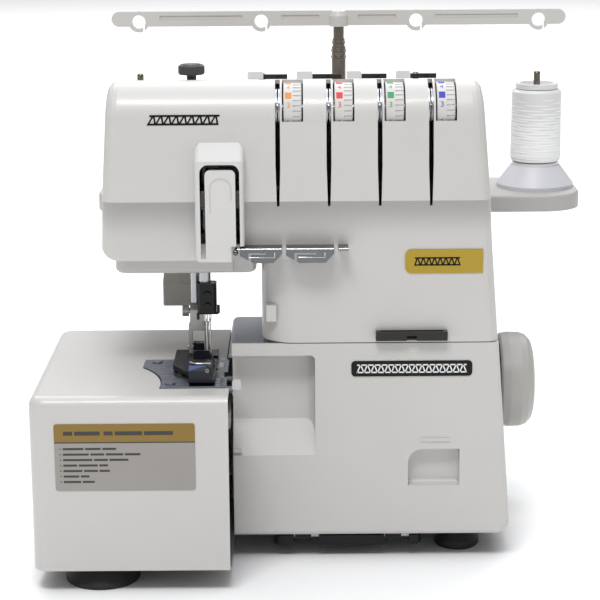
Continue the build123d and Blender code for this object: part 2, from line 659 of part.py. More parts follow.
def bush_x(x0, x1, y, z, bore, wall):
    return rod_x(x0, x1, y, z, bore + wall) - rod_x(x0 - 1, x1 + 1, y, z, bore)


def bush_z(z0, z1, x, y, bore, wall):
    return rod_z(z0, z1, x, y, bore + wall) - rod_z(z0 - 1, z1 + 1, x, y, bore)


def make_bushes():
    bushes = Part()
    for x0, x1 in (PLATE_LEFT_X, PLATE_RIGHT_X):
        bushes += bush_x(x0, x1, SHAFT_Y, SHAFT_Z, SHAFT_R + RUN, BUSH_WALL - RUN)
    bushes += bush_z(LUG_LOW[0], LUG_LOW[1], PRESSER_X, PRESSER_Y, PRESSER_BAR_R + RUN, 1.6 - RUN)
    for z0, z1 in (LUG_LOW, LUG_HIGH):
        bushes += bush_z(z0, z1, NEEDLE_BAR_X, NEEDLE_Y, NEEDLE_BAR_R + RUN, 1.6 - RUN)
    return bushes


# ---------------------------------------------------------------- drive
def make_main_shaft():
    """Main shaft with its cranks, eccentrics and belt pulley as one turned and pressed assembly."""
    shaft = rod_x(PLATE_LEFT_X[0] + 0.4, WHEEL_LEFT + 15, SHAFT_Y, SHAFT_Z, SHAFT_R)
    shaft += rod_x(-15.5, -12, SHAFT_Y, SHAFT_Z, 8) + rod_x(94, 97.5, SHAFT_Y, SHAFT_Z, 8)
    for x, dy, dz in ((0, 4, 0), (22, -3, 3), (44, 0, -5), (66, -4, -1)):
        shaft += rod_x(x, x + 8, SHAFT_Y + dy, SHAFT_Z + dz, 13)
    x0, x1 = PULLEY_X
    rim = rod_x(x0, x1, SHAFT_Y, SHAFT_Z, PULLEY_R)
    rim -= rod_x(x0 - 1, x0 + 2, SHAFT_Y, SHAFT_Z, PULLEY_R - 4)
    rim += rod_x(x0 - 3, x0 + 4, SHAFT_Y, SHAFT_Z, 10)
    return shaft + rim


def make_handwheel():
    x0 = WHEEL_LEFT
    x1 = x0 + WHEEL_WIDTH
    r = WHEEL_R
    points = [
        (x0, SHAFT_R), (x0, r - 2.2), (x0 + 1.2, r - 0.8), (x0 + 6, r), (x1 - 9, r - 0.2), (x1 - 5, r - 1.6),
        (x1 - 1.8, r - 5), (x1 - 0.6, r - 9), (x1, r - 16), (x1 + 0.2, 0), (x0 + 15, 0), (x0 + 15, SHAFT_R),
    ]
    wheel = turned_x(points, SHAFT_Y, SHAFT_Z)
    hollow = [(x0 - 1, 12), (x0 - 1, r - 4), (x0 + 13, r - 5), (x0 + 16, r - 9), (x0 + 17, 12)]
    return wheel - turned_x(hollow, SHAFT_Y, SHAFT_Z)


def make_motor():
    x0, x1 = MOTOR_X
    body = rod_x(x0, x1, MOTOR_Y, MOTOR_Z, MOTOR_R)
    body = chamfer(body.edges().filter_by(GeomType.CIRCLE), 2)
    body = body - rod_x(x0 + 3, x1 - 3, MOTOR_Y, MOTOR_Z, MOTOR_R - 3)
    body = body - rod_x(x0 - 1, x1 + 1, MOTOR_Y, MOTOR_Z, 3 + RUN)
    for a in range(0, 360, 45):
        y = MOTOR_Y + 15 * math.cos(math.radians(a))
        z = MOTOR_Z + 15 * math.sin(math.radians(a))
        body = body - rod_x(x0 - 1, x0 + 4, y, z, 3)
    body = body + bush_x(x1, PLATE_RIGHT_X[0], MOTOR_Y, MOTOR_Z, 8, 8)
    saddle = block(x0 + 14, x1 - 14, MOTOR_Y - 14, MOTOR_Y + 14, BASE_GAP + BASE_THICK, MOTOR_Z)
    return body + (saddle - rod_x(x0, x1, MOTOR_Y, MOTOR_Z, MOTOR_R - 1))


def make_motor_rotor():
    x0, x1 = MOTOR_X
    rotor = rod_x(x0 - 6, PULLEY_X[1] + 1, MOTOR_Y, MOTOR_Z, 3)
    rotor += rod_x(x0 + 12, x1 - 12, MOTOR_Y, MOTOR_Z, MOTOR_R - 4.2)
    return rotor + rod_x(PULLEY_X[0], PULLEY_X[1], MOTOR_Y, MOTOR_Z, MOTOR_PULLEY_R)


def make_belt():
    """Belt round both pulleys: an outer loop less an inner one."""
    def loop(grow):
        dy, dz = MOTOR_Y - SHAFT_Y, MOTOR_Z - SHAFT_Z
        span = math.hypot(dy, dz)
        r0, r1 = PULLEY_R + grow, MOTOR_PULLEY_R + grow
        lean = math.acos((r0 - r1) / span)
        along = math.atan2(dz, dy)
        points = []
        for angle, centre_y, centre_z, r in ((lean, SHAFT_Y, SHAFT_Z, r0), (lean, MOTOR_Y, MOTOR_Z, r1),
                                             (-lean, MOTOR_Y, MOTOR_Z, r1), (-lean, SHAFT_Y, SHAFT_Z, r0)):
            points.append((centre_y + r * math.cos(along + angle), centre_z + r * math.sin(along + angle)))
        x0, x1 = PULLEY_X[0] + 1, PULLEY_X[1] - 1
        web = plate_yz(points, x0, x1)
        return web + rod_x(x0, x1, SHAFT_Y, SHAFT_Z, r0) + rod_x(x0, x1, MOTOR_Y, MOTOR_Z, r1)
    return loop(BELT_GAP + BELT_THICK) - loop(BELT_GAP)


# ---------------------------------------------------------------- needle and presser
def make_needle_bar():
    bar = rod_z(NEEDLE_CLAMP_Z[1], 268, NEEDLE_BAR_X, NEEDLE_Y, NEEDLE_BAR_R)
    return bar + (block(-64.2, -54.6, 16, 27, 218, 226) & rod_z(210, 230, NEEDLE_BAR_X, NEEDLE_Y, 6.5))


def make_needle_clamp():
    z0, z1 = NEEDLE_CLAMP_Z
    clamp = block(-64.2, -52.6, NEEDLE_Y - 6, NEEDLE_Y + 4, z0, z1)
    clamp = chamfer(clamp.edges().filter_by(Axis.Z), 1.5)
    for side in (-1, 1):
        clamp = clamp - rod_z(z0 - 1, z0 + 12, NEEDLE_X + side * NEEDLE_PITCH / 2, NEEDLE_Y, 0.85)
    for z in (z0 + 4, z0 + 11):
        clamp = clamp - rod_y(NEEDLE_Y - 7, NEEDLE_Y - 1.2, NEEDLE_X, z, 1.2)
    return clamp


def make_clamp_screws():
    screws = Part()
    for z in (NEEDLE_CLAMP_Z[0] + 4, NEEDLE_CLAMP_Z[0] + 11):
        screws += rod_y(NEEDLE_Y - 6, NEEDLE_Y - 1.4, NEEDLE_X, z, 1.2)
        screws += rod_y(NEEDLE_Y - 8, NEEDLE_Y - 6, NEEDLE_X, z, 2.2)
    return screws


def make_needles():
    needles = Part()
    for side in (-1, 1):
        x = NEEDLE_X + side * NEEDLE_PITCH / 2
        needles += rod_z(NEEDLE_CLAMP_Z[0] - 5, NEEDLE_CLAMP_Z[0] + 11.8, x, NEEDLE_Y, 0.85)
        blade = turned([(0, NEEDLE_TIP_Z), (0.15, NEEDLE_TIP_Z), (0.5, NEEDLE_TIP_Z + 5),
                        (0.5, NEEDLE_CLAMP_Z[0] - 7), (0.85, NEEDLE_CLAMP_Z[0] - 5),
                        (0, NEEDLE_CLAMP_Z[0] - 5)], x, NEEDLE_Y)
        needles += blade
    return needles


def make_needle_hook():
    """Wire guide under the clamp."""
    z = NEEDLE_CLAMP_Z[0] - 0.5
    hook = rod_x(-64, -51.5, NEEDLE_Y - 4.2, z, 0.9)
    hook += rod_z(z, z + 5, -51.5, NEEDLE_Y - 4.2, 0.9) + rod_z(z - 4, z, -64, NEEDLE_Y - 4.2, 0.9)
    hook -= block(-64.2, -52.6, NEEDLE_Y - 6, NEEDLE_Y + 5.5, NEEDLE_CLAMP_Z[0], 180)
    return hook


PRESSER_TOP = 231.0
COLLAR_Z = (207.0, 211.0)
SPRING_TOP = 236.0
NUT_TOP = 242.5


def make_presser_bar():
    bar = rod_z(148, PRESSER_TOP, PRESSER_X, PRESSER_Y, PRESSER_BAR_R)
    return bar + rod_z(COLLAR_Z[0], COLLAR_Z[1], PRESSER_X, PRESSER_Y, 4.9)


def make_presser_spring():
    radius, wire, turns = 4.2, 0.45, 7
    height = SPRING_TOP - COLLAR_Z[1] - 2 * wire
    path = Pos(PRESSER_X, PRESSER_Y, COLLAR_Z[1] + wire) * Helix(height / turns, height, radius)
    start = path @ 0
    section = Plane(origin=start, z_dir=path % 0) * Circle(wire)
    return sweep(section, path=path)


def make_pressure_nut():
    nut = rod_z(SPRING_TOP, NUT_TOP, PRESSER_X, PRESSER_Y, 5.2)
    return nut - rod_z(SPRING_TOP - 1, SPRING_TOP + 4, PRESSER_X, PRESSER_Y, PRESSER_BAR_R + 0.4)


def make_pressure_knob():
    low = top_z(PRESSER_Y) + 3.4
    knob = rod_z(low, low + 5.8, PRESSER_X, PRESSER_Y, KNOB_R)
    knob = chamfer(edges_near(knob, lambda p: p.Z > low + 5.7), 0.8)
    return knob + rod_z(NUT_TOP, low, PRESSER_X, PRESSER_Y, 2.9)


FOOT_PIN_Y = 31.0
FOOT_PIN_Z = 129.0


def make_shank():
    shank = block(-69.5, -61, 27, 40, 140, 156)
    shank = shank - rod_z(147.9, 170, PRESSER_X, PRESSER_Y, PRESSER_BAR_R)
    shank = chamfer(edges_near(shank, lambda p: p.Y < 27.1 and p.Z > 155), 3)
    for x0, x1 in ((-70.5, -68.3), (-60.7, -58.5)):
        shank = shank + block(x0, x1, FOOT_PIN_Y - 4, FOOT_PIN_Y + 4, 126, 142)
    shank = shank + block(-70.5, -58.5, 27, 40, 140, 143)
    shank = shank - rod_x(-72, -57, FOOT_PIN_Y, FOOT_PIN_Z, 1.5)
    return shank - rod_x(-75, -66, PRESSER_Y, 151, 1.7)


def make_foot_screw():
    return rod_x(-70.5, -69, PRESSER_Y, 151, 1.7) + rod_x(-74.5, -70.5, PRESSER_Y, 151, 3.6)


def make_foot_pin():
    return rod_x(-71.5, -57.5, FOOT_PIN_Y, FOOT_PIN_Z, 1.5)


def make_presser_foot():
    sole = block(-79, -52.6, -29, 40, PLATE_TOP + 0.9, PLATE_TOP + 3.6)
    sole = sole & plate_xy([(-68, -30), (-52, -30), (-52, 41), (-79, 41), (-79, 4), (-68, -14)], 100, 140)
    low, high = PLATE_TOP + 1.5, PLATE_TOP + 11.5
    side = [(-29, low), (-29, high - 2.5), (-26, high), (-12, high), (4, low + 1.5), (4, low)]
    front = plate_yz(side, -67.6, -54.4)
    front = chamfer(edges_near(front, lambda p: p.X > -54.5 and p.Z > high - 2.4), 2.5)
    foot = sole + front
    foot = foot + block(-67.8, -61.2, FOOT_PIN_Y - 3, FOOT_PIN_Y + 3, 123, 131.8)
    foot = foot - rod_x(-70, -58, FOOT_PIN_Y, FOOT_PIN_Z, 1.5 + RUN)
    foot = foot - block(NEEDLE_X - 3.6, NEEDLE_X + 10, NEEDLE_Y - 4, NEEDLE_Y + 3, 110, 140)
    nose = edges_near(foot, lambda p: p.Y < -28.9 and p.Z < 123)
    return chamfer(nose, 1.0)


def make_lifter():
    hub = bush_x(-78, -70, LIFTER_Y, LIFTER_Z, LIFTER_PIN_R + RUN, 4)
    stem = plate_yz([(76.5, 198), (79, 204.6), (88, 196), (114, 156), (114, 150), (105, 150)], -78, -70)
    stem = stem - rod_x(-80, -68, LIFTER_Y, LIFTER_Z, LIFTER_PIN_R + RUN + 2)
    tab = plate_yz([(103, 137.5), (103, 152), (114, 157), (114, 152), (107, 148), (107, 137.5)], -91.5, -70)
    tab = fillet(edges_near(tab, lambda p: p.X < -91.4 and p.Z < 150), 1.2)
    return hub + stem + tab


def make_needle_lever():
    lever = rod_x(-61, -15, ROCKER_Y, ROCKER_Z, ROCKER_R)
    lever += rod_x(-60.8, -56.6, ROCKER_Y, ROCKER_Z, 8)
    arm = [(28.5, ROCKER_Z - 3), (28.5, ROCKER_Z + 3), (54, ROCKER_Z + 6), (54, ROCKER_Z - 6)]
    lever += plate_yz(arm, -60.8, -56.6)
    return lever + rod_x(-40, -36, ROCKER_Y, ROCKER_Z, 7)


def make_take_up():
    lever = rod_x(-59.4, -16.5, TAKE_UP_Y, TAKE_UP_Z, 2.5)
    for x0, x1 in ((-59.4, -57.4), (-38.6, -36.8)):
        lever += rod_x(x0, x1, TAKE_UP_Y, TAKE_UP_Z, 4.5)
        tip = [(6, TAKE_UP_Z - 3), (-11.4, TAKE_UP_Z - 5.5), (-12.4, TAKE_UP_Z - 4), (-12.4, TAKE_UP_Z + 4),
               (-11.4, TAKE_UP_Z + 5), (6, TAKE_UP_Z + 3)]
        plate = plate_yz(tip, x0, x1)
        lever += plate - rod_x(x0 - 1, x1 + 1, -8, TAKE_UP_Z + 0.5, 1.4)
    return lever


# ---------------------------------------------------------------- stitching tools
def make_feed_dog(y0, y1, z_low):
    dog = Part()
    for x0, x1 in FEED_ROWS:
        teeth = block(x0, x1, y0, y1, z_low, PLATE_TOP - 0.2)
        y = y0 + 1.0
        while y < y1 - 1:
            teeth -= plate_yz([(y, 122), (y + 0.9, 122), (y + 0.45, PLATE_TOP - 1.1)], x0 - 1, x1 + 1)
            y += 1.6
        dog += teeth
    return dog + block(FEED_ROWS[0][0], FEED_ROWS[1][1], y0, y1, z_low, z_low + 4)


def make_feed_rear():
    dog = make_feed_dog(FEED_REAR_Y[0], FEED_REAR_Y[1], 108)
    return dog + block(-74, -70, FEED_REAR_Y[0], 92, 104, 108)


def make_feed_front():
    dog = make_feed_dog(FEED_FRONT_Y[0], FEED_FRONT_Y[1], 108)
    dog = dog + block(-74, -70, FEED_FRONT_Y[0], 92, 99.4, 103.4)
    return dog + block(-74, -70, FEED_FRONT_Y[0], 2, 99.4, 110)


def make_feed_guide():
    """Block on the arm that both feed bars slide in."""
    guide = block(-80, -64, 62, 74, 94, BED_TOP - WALL - 3.7)
    guide = guide - block(-74.3, -69.7, 50, 90, 103.7, 108.3)
    return guide - block(-74.3, -69.7, 50, 90, 99.1, 103.7)


def looper(pivot_x, pivot_z, y0, y1, tip_x, tip_z, back_y):
    """A looper: hub on its shaft, an arm up, and a hooked blade reaching left."""
    arm = [(pivot_x - 5, pivot_z), (pivot_x - 9, tip_z - 8), (pivot_x - 12, tip_z), (pivot_x - 6, tip_z + 1),
           (pivot_x + 1, tip_z - 10), (pivot_x + 5, pivot_z)]
    blade = [(pivot_x - 6, tip_z + 1), (tip_x, tip_z + 1.2), (tip_x + 4, tip_z - 1.6),
             (pivot_x - 8, tip_z - 3)]
    solid = plate_xz(arm, y0, y1) + plate_xz(blade, y0, y1)
    solid = solid + rod_y(y0, y1 + 1, pivot_x, pivot_z, 5)
    return solid + rod_y(y0, back_y, pivot_x, pivot_z, LOOPER_SHAFT_R)


def make_lower_looper():
    return looper(LOWER_LOOPER[0], LOWER_LOOPER[1], 24.8, 26.8, -54.5, 110, 60)


def make_upper_looper():
    return looper(UPPER_LOOPER[0], UPPER_LOOPER[1], 17.0, 19.0, -49.5, 106, 60)


def make_lower_knife():
    blade = block(CUT_LINE_X - 2.2, CUT_LINE_X, KNIFE_Y[0], KNIFE_Y[1], 102, PLATE_TOP - 0.2)
    blade = blade - plate_yz([(-7, 122), (3, 122), (-7, 117)], CUT_LINE_X - 3, CUT_LINE_X + 1)
    return blade


def make_knife_holder():
    """Clamp that holds the lower knife against the arm."""
    holder = block(-62, CUT_LINE_X - 2.2, KNIFE_Y[0] - 3, KNIFE_Y[1] + 3, 98, 113)
    holder = holder - block(-81, -50, 5.5, 28, 97, 99)
    return holder + block(-62, -55, KNIFE_Y[0] - 21, KNIFE_Y[0] - 3, 98, 108)


def make_upper_knife():
    x0, x1 = CUT_LINE_X + 0.2, CUT_LINE_X + 2.6
    blade = plate_yz([(-6, 96), (-6, 126), (-3, 128), (6, 122.5), (6, 96)], x0, x1)
    arm = block(x0, x1 + 3.4, -6, KNIFE_PIVOT_Y, 87, 97)
    arm = arm + bush_x(x0, -36, KNIFE_PIVOT_Y, KNIFE_PIVOT_Z, KNIFE_PIVOT_R, 3.5)
    return blade + (arm - rod_x(x0 - 1, -30, KNIFE_PIVOT_Y, KNIFE_PIVOT_Z, KNIFE_PIVOT_R + RUN))


# ---------------------------------------------------------------- threading
def make_dial(index):
    x0 = dial_left(index) + (WINDOW_WIDTH - DIAL_WIDTH) / 2
    x1 = x0 + DIAL_WIDTH
    dial = rod_x(x0, x1, DIAL_Y, DIAL_Z, DIAL_R)
    dial = chamfer(dial.edges().filter_by(GeomType.CIRCLE), 0.5)
    dial = dial - rod_x(x0 - 1, x1 + 1, DIAL_Y, DIAL_Z, AXLE_R + RUN)
    split = x0 + DIAL_WIDTH * 0.52
    for a in range(0, 360, 12):
        y = DIAL_Y + DIAL_R * math.cos(math.radians(a))
        z = DIAL_Z + DIAL_R * math.sin(math.radians(a))
        dial = dial - rod_x(split, x1 + 1, y, z, 0.7)
    return dial


def make_dial_axle():
    axle = rod_x(PLATE_LEFT_X[0], PLATE_RIGHT_X[1], DIAL_Y, DIAL_Z, AXLE_R)
    for i in range(DIAL_COUNT):
        x = dial_left(i) + WINDOW_WIDTH + 1
        axle += rod_x(x, x + 3, DIAL_Y, DIAL_Z, 5)
    return axle


def make_tension_discs():
    discs = Part()
    for i in range(DIAL_COUNT):
        x = SLOT_LEFT + i * DIAL_PITCH + SLOT_WIDTH / 2
        for x0, x1 in ((x - 1.4, x - 0.4), (x + 0.4, x + 1.4)):
            discs += bush_x(x0, x1, DIAL_Y, DIAL_Z, AXLE_R, 9)
        discs += bush_x(x - 0.4, x + 0.4, DIAL_Y, DIAL_Z, AXLE_R, 2)
    return discs


def face_plate(x0, x1):
    """One chrome guide: a clip foot on the casing, a shelf and a turned-down lip."""
    z = 199.5
    shelf = block(x0, x1, -13, 0.8, z - 1.2, z)
    foot = z - 8.5
    lip = plate_xz([(x0, z), (x1, z), (x1, z - 3), (x1 - 5, foot), (x0 + 8, foot), (x0, z - 4)], -13, -11.8)
    mouth = block(x0 + 5, x0 + (x1 - x0) * 0.62, -14, -5, z - 3.8, z - 2.4)
    throat = block(x0 + 5, x0 + 6.4, -14, -5, z - 9, z - 2.4)
    return shelf + (lip - mouth - throat)


FACE_GUIDES = ((-37.0, -12.2), (-9.8, 18.6), (21.0, 27.0))


def make_face_guides():
    """Four pressed guides in a row above the door; the sloping face hides their feet."""
    guides = Part()
    for x0, x1 in FACE_GUIDES[1:]:
        guides += face_plate(x0, x1) - upper_body(0)
    x0, x1 = FACE_GUIDES[0]
    first = face_plate(x0, x1) + block(-28, x1, -13, 1.5, 198.3, 199.5)
    guides += first - upper_body(0)
    pin = rod_y(-15, -3, FACE_PIN_X, 198.0, 1.0) + Pos(FACE_PIN_X, -15.5, 198.0) * Sphere(1.7)
    strut = block(FACE_PIN_X - 0.6, x0 + 1, -5, -3, 197.2, 198.6)
    return guides + (pin + strut - upper_body(0))


def make_seam_guide():
    """Dark pressed guide that sits on the seam above the looper cover."""
    guide = block(43.5, 86.5, -5, 0, 141, 146.5)
    guide = guide - block(46, 84, -3.8, 1, 142.2, 148)
    guide = guide - block(62, 68, -6, -3.5, 139, 144)
    return guide + block(46, 84, -0.8, 0, 141, 146.5)


def make_top_guides():
    guides = Part()
    y0, y1 = 38.5, 44.4
    for x0, x1, plate in TOP_GUIDES:
        high = top_z(y0) + 4.4
        low = plate_yz([(y0, top_z(y0)), (y0, high), (y1, high), (y1, top_z(y1))], x0, x1)
        low = fillet(edges_near(low, lambda p: p.Z > high - 0.1 and abs(p.X - (x0 + x1) / 2) > 4), 1.2)
        guides += low + block(x1, plate, y0 + 1, y0 + 4, top_z(y0) - 0.1, top_z(y0) + 2.6)
    return guides - upper_body(0)


TOP_GUIDES = ((-32.6, -23.0, -8.5), (-3.0, 6.6, 24.0), (27.2, 36.2, 51.4), (57.0, 65.6, 81.4))


# ---------------------------------------------------------------- thread stand
def make_stand():
    x0, x1 = STAND_X
    y0, y1 = STAND_Y
    tray = block(x0, x1, y0, y1, STAND_TOP - STAND_THICK, STAND_TOP)
    tray = fillet(tray.edges().filter_by(Axis.Z), STAND_CORNER_R)
    tray = fillet(edges_near(tray, lambda p: p.Z > STAND_TOP - 0.1), 2)
    tray = tray - block(x0 + 20, x1 - 20, y0 + 14, y1 - 14, 180, STAND_TOP - STAND_THICK + 3.4)
    tray = tray + rod_z(STAND_TOP - STAND_THICK, STAND_TOP, POLE_X, POLE_Y, 12)
    tray = tray + block(POLE_X - 40, POLE_X + 40, BODY_BACK, y0 + 16, 180, STAND_TOP - STAND_THICK + 3)
    for dx in PIN_OFFSETS:
        tray = tray + rod_z(STAND_TOP - STAND_THICK, STAND_TOP, POLE_X + dx, POLE_Y, 6)
        tray = tray - rod_z(STAND_TOP - STAND_THICK + 2, STAND_TOP + 1, POLE_X + dx, POLE_Y, PIN_SHANK_R)
    return tray - rod_z(STAND_TOP - STAND_THICK + 1.5, STAND_TOP + 1, POLE_X, POLE_Y, TUBE_OUTER_R)


def make_stand_pins():
    pins = Part()
    for dx in PIN_OFFSETS:
        pin = rod_z(SPOOL_LOW, PIN_TOP, POLE_X + dx, POLE_Y, PIN_R)
        pins += fillet(edges_near(pin, lambda p: p.Z > PIN_TOP - 0.1), 1.4)
        pins += rod_z(STAND_TOP - STAND_THICK + 2, SPOOL_LOW, POLE_X + dx, POLE_Y, PIN_SHANK_R)
    return pins


def make_cone_discs():
    discs = Part()
    for dx in PIN_OFFSETS:
        points = [(PIN_SHANK_R, STAND_TOP), (DISC_R, STAND_TOP), (DISC_R, STAND_TOP + 2.5),
                  (18, SPOOL_LOW - 2), (16.5, SPOOL_LOW), (PIN_SHANK_R, SPOOL_LOW)]
        discs += turned(points, POLE_X + dx, POLE_Y)
    return discs



def make_spool():
    low, high = SPOOL_LOW, SPOOL_LOW + SPOOL_HEIGHT - 2
    points = [(PIN_R + RUN, low), (15.5, low), (15.5, low + 2), (9, low + 3), (9, high - 4),
              (14.2, high - 3.4), (14.4, high), (11, high), (10.4, high - 2.4), (PIN_R + RUN, high - 2.4)]
    return turned(points, SPOOL_X, POLE_Y)


def make_thread():
    low, high = SPOOL_LOW + 3.1, SPOOL_LOW + SPOOL_HEIGHT - 6.2
    points = [(9, low), (SPOOL_R - 0.9, low), (SPOOL_R, low + 1.6), (SPOOL_R - 0.2, high - 1.4),
              (SPOOL_R - 1.4, high), (9, high)]
    return turned(points, SPOOL_X, POLE_Y)


def make_pole_outer():
    low = STAND_TOP - STAND_THICK + 1.5
    tube = rod_z(low, TUBE_OUTER_TOP, POLE_X, POLE_Y, TUBE_OUTER_R)
    return tube - rod_z(low + 1.5, TUBE_OUTER_TOP + 1, POLE_X, POLE_Y, TUBE_MID_R + RUN)


def make_pole_mid():
    low = STAND_TOP - STAND_THICK + 3.5
    tube = rod_z(low, TUBE_MID_TOP, POLE_X, POLE_Y, TUBE_MID_R)
    return tube - rod_z(low + 1.5, TUBE_MID_TOP + 1, POLE_X, POLE_Y, TUBE_TOP_R + RUN)


def make_pole_top():
    low = STAND_TOP - STAND_THICK + 5.5
    rod = rod_z(low, GUIDE_BAR_Z + 3, POLE_X, POLE_Y, TUBE_TOP_R)
    return rod


def make_guide_bar():
    """Top bar with its four thread eyes, a domed cap over the pole and shallow grooves on the front."""
    z, half = GUIDE_BAR_Z, GUIDE_BAR_HALF
    y0, y1 = POLE_Y - GUIDE_BAR_THICK / 2, POLE_Y + GUIDE_BAR_THICK / 2
    r = GUIDE_BAR_HEIGHT / 2
    bar = block(POLE_X - half + r, POLE_X + half - r, y0, y1, z - r, z + r)
    for side in (-1, 1):
        bar = bar + rod_y(y0, y1, POLE_X + side * (half - r), z, r)
        for x0, x1 in ((64, 119), (13, 38)):
            bar = bar - block(POLE_X + side * x0, POLE_X + side * x1, y0 - 1, y0 + 0.7, z - 0.6, z + 2.2)
    for dx in PIN_OFFSETS:
        bar = bar + rod_y(y0, y1, POLE_X + dx, z - EYE_DROP, EYE_RING_R)
    for dx in PIN_OFFSETS:
        bar = bar - rod_y(y0 - 1, y1 + 1, POLE_X + dx, z - EYE_DROP, EYE_R)
        x = POLE_X + dx + EYE_R * 0.6
        bar = bar - block(x, x + 1.2, y0 - 1, y1 + 1, z - 12, z - EYE_DROP - 2)
    cap = turned([(0, z - 5.4), (6.2, z - 5.4), (6.5, z + 1.5), (5.2, z + 4.6), (2.6, z + 6), (0, z + 6.3)],
                 POLE_X, POLE_Y)
    return bar + cap - rod_z(z - 8, z + 3, POLE_X, POLE_Y, TUBE_TOP_R + RUN)


# ---------------------------------------------------------------- feet, controls, fasteners
def make_large_foot():
    x, y, r = FOOT_FRONT_LEFT
    points = [(0, BASE_GAP), (0, 5), (r - 7, 2.4), (r - 4, 0), (r - 0.8, 0), (r, 0.8), (r, 2.6), (r - 3, 8.5),
              (r - 6, BASE_GAP)]
    return turned(points, x, y)


def make_feet():
    feet = Part()
    for x, y, r in FEET_REST:
        feet += turned([(0, 1), (r - 5, 1), (r - 4, 0), (r - 1, 0), (r, 1.2), (r, 4.5), (r - 4.6, BASE_GAP),
                        (0, BASE_GAP)], x, y)
    return feet


def side_wall():
    """The drafted right wall, used to seat whatever is fitted to it."""
    z0, z1 = BASE_GAP, COVER_SEAM - SEAM
    low_x, high_x = right_side(z0), right_side(z1)
    wall = [(low_x, z0), (high_x, z1), (high_x - WALL, z1), (low_x - WALL, z0)]
    return plate_xz(wall, COVER_SKIRT + SEAM, BODY_BACK)


INLET = (114.0, 32.0)           # y, z of the middle of the power inlet
SWITCH = (52.0, 44.0)
SWITCH_PIN_R = 1.2


def bezel(y, z, half_y, half_z, depth):
    """A flanged box let into the right wall."""
    x = right_side(z)
    body = block(x - depth, x + 0.8, y - half_y, y + half_y, z - half_z, z + half_z)
    flange = block(x - WALL, x + 1.6, y - half_y - 2.5, y + half_y + 2.5, z - half_z - 2.5, z + half_z + 2.5)
    return body + (flange - side_wall())


def panel_hole(y, z, half_y, half_z):
    return block(BODY_RIGHT - 20, BODY_RIGHT + 10, y - half_y, y + half_y, z - half_z, z + half_z)


def make_inlet():
    y, z = INLET
    x = right_side(z)
    inlet = bezel(y, z, 9.0, 8.0, 15) - block(x - 12, x + 5, y - 7.2, y + 7.2, z - 6.2, z + 6.2)
    for dy, dz in ((-3.6, -2.2), (3.6, -2.2), (0, 3)):
        inlet = inlet + rod_x(x - 14, x - 4, y + dy, z + dz, 1.2)
    return inlet


def make_switch_frame():
    y, z = SWITCH
    x = right_side(z)
    frame = bezel(y, z, 7.6, 7.6, 10) - block(x - 8, x + 5, y - 5.5, y + 5.5, z - 5.5, z + 5.5)
    return frame + rod_y(y - 6, y + 6, x - 1, z, SWITCH_PIN_R)


def make_switch():
    y, z = SWITCH
    x = right_side(z)
    side = [(x - 4, z - 4.4), (x + 3.2, z - 4.4), (x + 1.4, z), (x + 2.4, z + 4.4), (x - 4, z + 4.4)]
    return plate_xz(side, y - 4.8, y + 4.8) - rod_y(y - 6, y + 6, x - 1, z, SWITCH_PIN_R + 0.05)


DIAL_SPOT = (108.0, 106.0)      # y, z of the stitch length dial
LEVER_SPOT = (108.0, 68.0)
LEVER_TRAVEL = 12.0


def make_stitch_dial():
    y, z = DIAL_SPOT
    x = right_side(z)
    dial = rod_x(x + 1.2, x + 5.0, y, z, 11) + rod_x(x - 9, x + 2, y, z, 3.3)
    return dial - block(x + 4.2, x + 6, y - 0.8, y + 0.8, z + 4, z + 12)


def make_feed_lever():
    y, z = LEVER_SPOT
    x = right_side(z)
    grip = block(x + 1.6, x + 4.6, y - 3.5, y + 3.5, z - 3, z + 3)
    return grip + block(x - 8, x + 2, y - 2, y + 2, z - 2, z + 2)


def make_lamp():
    bulb = rod_x(-103, -90, 31, 187.5, 3.6)
    bulb = bulb + rod_x(-107.5, -103, 31, 187.5, 4.4)
    return bulb + block(-110.5, -107.5, 24, 38, 183, 190)


def make_base_screws():
    screws = Part()
    for x, y in ((-38.0, 53.0), (-19.0, 100.0), (101.0, 66.0), (74.0, 50.0)):
        screws += rod_z(BASE_GAP - 1.5, BASE_GAP, x, y, 3.5)
    return screws


def make_cover_screws():
    screws = Part()
    for x in (-36.0 + 4, 44.0):
        screws += rod_y(BODY_BACK, BODY_BACK + 1.2, x, 27, 3)
    for x, z in ((-99, 236), (-19, 156), (101, 156)):
        screws += rod_y(BODY_BACK, BODY_BACK + 1.2, x, z, 3)
    return screws


